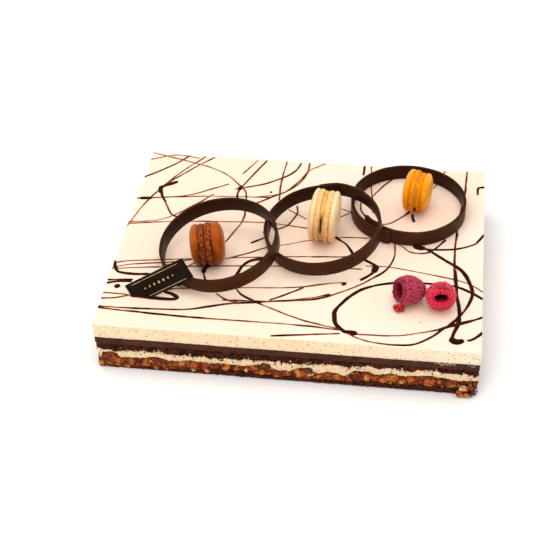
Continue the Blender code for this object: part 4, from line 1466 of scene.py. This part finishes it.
def berryCore(look):
    # the body under the drupelets, with the hollow left where the core was pulled out; its
    # floor climbs towards the closed end
    half, radius = look["half"], look["radius"]
    sides = berryLook["sides"]
    turn, around = circle(sides)
    mouth, depth = np.array(look["hole"]), 2 * half * berryLook["holeDepth"]
    # along the axis, size across as two shares, climb and painted shade
    profile = []
    for i in range(1, 22):
        t = i / 22
        reach = max(radius * berryRadius(t) - berryLook["shrink"], 0.3)
        profile.append((half * (2 * t - 1), (reach, reach), 0.0, 0.0))
    profile.append((half - 0.9, (radius * 0.74, radius * 0.74), 0.0, 0.0))
    profile.append((half - 0.6, mouth * berryLook["rim"], 0.0, 0.3))
    for i in range(12):
        t = i / 11
        climb = look["floor"] * t
        reach = mouth * (1.06 - 0.12 * t - 0.42 * t ** 4) - climb * 0.6
        # painted shade: the hollow darkens deeper in, less on its floor
        dark = 0.45 + 0.55 * np.clip((t * (1 + 0.6 * np.sin(turn)) - 0.04) / 0.3, 0, 1)
        profile.append((half - 1.3 - (depth - 1.3) * t, reach, climb, dark))
    loops, inside = [], []
    for k, (along, reach, climb, dark) in enumerate(profile):
        ridge = 0.30 * np.cos(turn * 13 + 1.3 * k) if k > 23 else np.zeros(sides)
        loop = around * reach + around * ridge[:, None]
        loop[:, 1] += climb
        loops.append(np.c_[np.full(sides, along), loop])
        inside.append(np.zeros(sides) + dark)
    points = np.r_[np.concatenate(loops), [(-half + 0.9, 0, 0), (half - depth - 0.6, 0, look["floor"])]]
    faces = fannedFaces(len(loops), sides)
    inside = np.r_[np.concatenate(inside), 0, 1]
    return points, orientOut(points, faces), {"crest": np.zeros(len(points)), "inside": inside}


def berryRows(look):
    # distances along the berry and out from its axis, from the tip round the mouth's lip
    half, radius = look["half"], look["radius"]
    profile = [(half * (2 * t - 1), radius * berryRadius(t)) for t in np.linspace(0.015, 1.0, 300)]
    profile += [(half - 0.1, radius * look["mouth"]), (half - 0.8, max(look["hole"]) * 1.1)]
    profile = np.array(profile)
    run = runOf(profile)
    count = int(run[-1] / (berryLook["spacing"] * 0.87))
    rows = []
    for row in range(count):
        at = (row + 0.5) * run[-1] / count
        here, before, after = pointsAt(profile, run, at + np.array([0, -0.4, 0.4]))
        rows.append((here, unit(after - before)))
    return rows


def buildRaspberry(name):
    look = berries[name]
    size, jitter = berryLook["drupelet"], berryLook["jitter"]
    flatten = look["hole"][1] / look["hole"][0]
    ball, ballFaces = ballShape(2)
    rng = np.random.default_rng(len(name) + look["faces"])
    parts, hairs = [berryCore(look)], []
    rows = berryRows(look)
    for row, ((along, reach), ahead) in enumerate(rows):
        normal = np.array([-ahead[1], ahead[0]])
        count = max(3, int(round(2 * math.pi * reach / berryLook["spacing"])))
        for i in range(count):
            turn = 2 * math.pi * (i + 0.5 * (row % 2) + rng.normal(0, jitter)) / count
            spread = np.array([math.cos(turn), math.sin(turn)])
            out = np.array([normal[0], *(normal[1] * spread)])
            axis = np.array([ahead[0], *(ahead[1] * spread)])
            side = np.cross(out, axis)
            scale = size * rng.uniform(0.84, 1.12)
            middle = np.array([along + rng.normal(0, 2 * jitter), *(reach * spread)])
            middle = middle + out * (berryLook["bump"] - scale + rng.normal(0, berryLook["uneven"]))
            # towards the mouth the berry gets lower than it is wide
            middle[2] *= flatten ** (0.25 * max(0, row - len(rows) + 5))
            lumps = berryLook["lump"] * softNoise(ball * 0.01, 0.006, int(rng.integers(999)))
            lump = ball * (1 + lumps[:, None])
            points = middle + lump @ np.array([axis, side, out]) * scale
            crest = np.clip((ball[:, 2] - 0.25) / 0.75, 0, 1) * rng.uniform(0.75, 1.0)
            lip = 0.3 if row > len(rows) - 3 else 0.0
            parts.append((points, ballFaces, {"crest": crest, "inside": np.full(len(ball), lip)}))
            if rng.random() < berryLook["hairShare"] and 1 < row < len(rows) - 1:
                hairs.append((middle + out * scale * 0.95, out + 0.7 * rng.normal(size=3)))
    points, faces, values = joinParts(parts)
    spin = spun(look["faces"], "Z")
    rise = spun(-look["rise"], "Y")
    turnBy = np.array(spin @ rise)[:3, :3]
    placed = points @ turnBy.T
    low, high = boxOf(name)
    fit = (high - low) / (placed.max(0) - placed.min(0))
    shift = (low + high) / 2 - fit * (placed.max(0) + placed.min(0)) / 2
    makePiece(name + "_piece", (placed * fit + shift) * mm, faces, berryFinish(name, look),
              [name], values)
    return [((start @ turnBy.T) * fit + shift, aim @ turnBy.T, low, high) for start, aim in hairs]


def berryFinish(name, look):
    finish = Finish(name, specular=0.35, soft=0.2, softRadius=(1, 0.2, 0.25), tint=(1, 0.8, 0.85))
    crest = finish.value("crest")
    # painted shade: the flesh is darker between the drupelets than on their crests
    flesh = finish.mix(finish.remap(crest, 0.0, 0.8), srgb(*look["deep"]), srgb(*look["light"]))
    fuzz = finish.patches((1, 1, 1), (0, 0, 0), 1000, 4, 0.47, 0.66)
    # the pale tone on the crests is partly the berry's whitish coat and partly painted highlight
    shown = finish.math("MULTIPLY", fuzz.outputs["Mask"], finish.remap(crest, 0.1, 0.9, 0.0, 0.55))
    skin = finish.mix(shown, flesh, srgb(*look["bloomAndHighlight"]))
    inside = finish.value("inside")
    # painted shade: the hollow goes from the inner tone to dark deeper in
    hollow = finish.mix(finish.remap(inside, 0.45, 1.0), srgb(*look["inner"]), srgb(*look["dark"]))
    finish.color(finish.mix(finish.remap(inside, 0.05, 0.45), skin, hollow))
    finish.rough(fuzz.outputs["Mask"], 0.36, 0.6)
    finish.shader.inputs["Sheen Weight"].default_value = 0.08
    finish.shader.inputs["Sheen Roughness"].default_value = 0.4
    finish.grain(900, 0.2, 0.4, 0.0002, 0.5)
    return finish.material


hairLook = {"length": 0.9, "bend": 0.35, "radii": ((0.0, 0.06), (0.5, 0.055), (1.0, 0.03))}


def buildHairs(starts):
    # the fine dry styles that stay on ripe berries
    material = plainFinish("berry_hair", ((232, 170, 140), (190, 96, 84), 400), roughness=0.6,
                           specular=0.3)
    parts = []
    for start, aim, low, high in starts:
        aim = unit(aim)
        side = unit(np.cross(aim, (0.3, 0.2, 0.9)))
        other = np.cross(aim, side)
        rows = []
        for t, thick in hairLook["radii"]:
            middle = start + aim * hairLook["length"] * t + side * hairLook["bend"] * t * t
            for k in range(3):
                turn = 2 * math.pi * k / 3
                rows.append(middle + thick * (math.cos(turn) * side + math.sin(turn) * other))
        rows = np.clip(np.array(rows), low, high)
        faces = ringFaces(3, 3) + [(2, 1, 0), (6, 7, 8)]
        parts.append((rows, faces, {}))
    makeJoined("raspberry_hairs", parts, material)


hairStarts = []
for berryName in berries:
    hairStarts += buildRaspberry(berryName)
buildHairs(hairStarts)

# loose drupelets: place from the middle of the box, radius
looseDrupelets = [
    (-2.5, 0.6, -0.4, 1.6), (-0.9, -1.8, -0.5, 1.6), (1.9, -1.4, -0.4, 1.55), (2.5, 1.0, -0.5, 1.45),
    (0.2, 0.3, 0.5, 1.65), (-1.1, 2.0, -0.8, 1.4), (0.6, -0.6, -0.9, 1.4),
]


def buildDrupelets():
    material = plainFinish("drupelets", ((214, 12, 24), (140, 2, 10), 320, 2, 0.3, 0.7),
                           grain=(500, 0.1, 0.2, 0.0002, 0.4), roughness=0.25, specular=0.28, soft=0.2,
                           softRadius=(1, 0.1, 0.08), coat=0.1)
    ball, ballFaces = ballShape(4)
    low, high = boxOf("raspberry_cluster")
    middle = (low + high) / 2
    parts = []
    for i, (x, y, z, radius) in enumerate(looseDrupelets):
        lump = ball * radius * (1 + 0.06 * softNoise(ball * 0.01, 0.007, 70 + i)[:, None])
        parts.append((np.clip(lump + middle + np.array([x, y, z]), low, high), ballFaces, {}))
    makeJoined("raspberry_cluster_piece", parts, material, ["raspberry_cluster"])


buildDrupelets()
print("raspberries done")


# the plaque

plaqueLook = {"size": (45.0, 15.2, 1.2), "turn": 8.3, "rise": 29.6, "recline": 72.0,
              "middle": (-86.6, -63.8, 11.1), "round": 0.25, "border": 1.7, "line": 0.35,
              "ends": 9.0, "gold": 0.08, "lozenge": (0.9, 1.25), "spacing": 3.6}


def boxShape(center, size):
    points = [(center[0] + sx * size[0] / 2, center[1] + sy * size[1] / 2, center[2] + sz * size[2] / 2)
              for sx in (-1, 1) for sy in (-1, 1) for sz in (-1, 1)]
    faces = [(0, 1, 3, 2), (4, 6, 7, 5), (0, 4, 5, 1), (2, 3, 7, 6), (0, 2, 6, 4), (1, 5, 7, 3)]
    return np.array(points), faces


def buildPlaque():
    look = plaqueLook
    middle = Vector((look["middle"][0], look["middle"][1], cakeTop + look["middle"][2])) * mm
    turn = spun(look["turn"], "Z")
    lift = spun(-look["rise"], "Y")
    recline = spun(look["recline"], "X")
    place = Matrix.Translation(middle) @ turn @ lift @ recline
    slab = bmesh.new()
    bmesh.ops.create_cube(slab, size=1.0)
    size = [side * mm for side in look["size"]]
    bmesh.ops.transform(slab, matrix=Matrix.Diagonal((*size, 1)), verts=slab.verts)
    bmesh.ops.bevel(slab, geom=slab.edges[:], offset=look["round"] * mm, segments=3, affect="EDGES",
                    profile=0.5)
    bmesh.ops.transform(slab, matrix=place, verts=slab.verts)
    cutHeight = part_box("plaque")[0].z
    bmesh.ops.bisect_plane(slab, geom=slab.verts[:] + slab.edges[:] + slab.faces[:],
                           plane_co=(0, 0, cutHeight), plane_no=(0, 0, 1), clear_inner=True)
    bmesh.ops.holes_fill(slab, edges=slab.edges[:])
    points, faces = ordered(*taken(slab))
    glaze = plainFinish("plaque", ((27, 17, 12), (20, 11, 7), 90), (0.34, 0.5),
                        (260, 0.1, 0.15, 0.00012, 0.5), specular=0.10, tint=(1, 0.8, 0.65))
    piece = makePiece("plaque_piece", points, faces, glaze, ["plaque"])
    piece.data.set_sharp_from_angle(angle=math.radians(35))

    # plain gold rules along both long edges, with a row of small lozenges between
    length, width, thick = look["size"]
    parts = []
    for side in (-1, 1):
        parts.append(boxShape((0, side * (width / 2 - look["border"]), thick / 2),
                              (length - look["ends"], look["line"], look["gold"])) + ({},))
    wide, tall = look["lozenge"]
    rise = (0, 0, look["gold"] / 2)
    for k in range(-3, 4):
        lozenge = np.array([(-wide, 0, 0), (0, -tall, 0), (wide, 0, 0), (0, tall, 0)])
        lozenge = lozenge * (1 - 0.12 * abs(k)) + np.array([look["spacing"] * k, 0, thick / 2])
        both = np.r_[lozenge - rise, lozenge + rise]
        parts.append((both, ringFaces(2, 4) + [(3, 2, 1, 0), (4, 5, 6, 7)], {}))
    points, faces, _ = joinParts(parts)
    gold = plainFinish("gold_line", ((222, 190, 128), (170, 134, 76), 600), (0.5, 0.35), specular=0.5)
    makePiece("plaque_gold", moved(points, place), faces, gold, flat=True)


buildPlaque()
print("plaque done")


# crumbs: torn off along the cut sides, and two specks on the glaze

crumbLook = {"count": 1400, "small": 0.22, "large": 0.75, "lump": 0.35, "scuffs": [(96, 14), (117, 5)],
             "specks": [(85.6, -73.2, 0.5, (232, 100, 130)), (99, -70.9, 0.3, (190, 200, 130))]}


def crumbPlace(rng, heights):
    # height, tone and depth in the side of the next crumb, between the layers' heights there
    kind = rng.random()
    if kind < 0.22:      # sponge crumbs dragged down over the cream
        return heights[2] - rng.exponential(1.0), "dark", 0.25
    if kind < 0.42:      # bits of cream up on the sponge
        return heights[2] + rng.exponential(0.7), "cream", 0.15
    if kind < 0.8:      # crumbs of biscuit at the foot
        return 0.5 + rng.exponential(0.7), rng.choice(["dark", "dark", "rust"]), 0.3
    # caramel crumbs in and over the praline
    return rng.uniform(heights[0], heights[1]), rng.choice(["gold", "rust", "cream"]), 0.2


def crumb(points, faces, color):
    return points, faces, {"tone": np.tile(color, (len(points), 1))}


def buildCrumbs():
    finish = Finish("crumbs", specular=0.25)
    finish.grain(900, 0.4, 0.4, 0.0003, 0.8)
    tones = finish.patches((1.1, 1.1, 1.1), (0.6, 0.55, 0.5), 900)
    finish.color(finish.shaded(finish.tone("tone"), tones))
    finish.rough(tones.outputs["Mask"], 0.9, 0.65)
    ball, ballFaces = ballShape(2)
    points, normals, share = outline((0.3, 0.3, 0.3, 0.3))
    heights = [boundaryHeight(level, points, share) for level in range(3)]
    rng = np.random.default_rng(5)
    palette = {"dark": srgb(112, 50, 26), "rust": srgb(150, 66, 32), "cream": srgb(246, 216, 176),
               "gold": srgb(214, 150, 84)}
    parts = []
    for number in range(crumbLook["count"]):
        at = int(rng.integers(len(points)))
        z, tone, inset = crumbPlace(rng, [level[at] for level in heights])
        size = rng.uniform(crumbLook["small"], crumbLook["large"])
        spot = points[at] - normals[at] * inset
        shape = ball * (1 + crumbLook["lump"] * softNoise(ball * 0.01, 0.006, number)[:, None])
        shape = shape * size * rng.uniform(0.6, 1.0, 3)
        placed = shape + np.array([spot[0], spot[1], z])
        placed[:, 2] = np.maximum(placed[:, 2], 0.0)
        placed[:, 0] = np.clip(placed[:, 0], -cake["length"] / 2, cake["length"] / 2)
        placed[:, 1] = np.clip(placed[:, 1], -cake["depth"] / 2, cake["depth"] / 2)
        shade = np.array(palette[str(tone)][:3]) * rng.uniform(0.7, 1.15)
        parts.append(crumb(placed, ballFaces, shade))
    for start, reach in crumbLook["scuffs"]:      # pale crumbs smeared on the ganache
        for _ in range(int(reach * 3)):
            size = rng.uniform(0.16, 0.38)
            spot = (start + rng.uniform(0, reach), -cake["depth"] / 2 + 0.3, rng.uniform(24.6, 26.8))
            shade = np.array(palette["cream"][:3]) * rng.uniform(0.6, 1.0)
            parts.append(crumb(ball * (size * 1.5, size * 0.6, size * 0.8) + spot, ballFaces, shade))
    for x, y, size, tone in crumbLook["specks"]:
        placed = ball * (size, size * 1.3, 0.25) + np.array([x, y, cakeTop + 0.1])
        parts.append(crumb(placed, ballFaces, srgb(*tone)[:3]))
    makeJoined("crumbs", parts, finish.material)


buildCrumbs()
print("crumbs done")
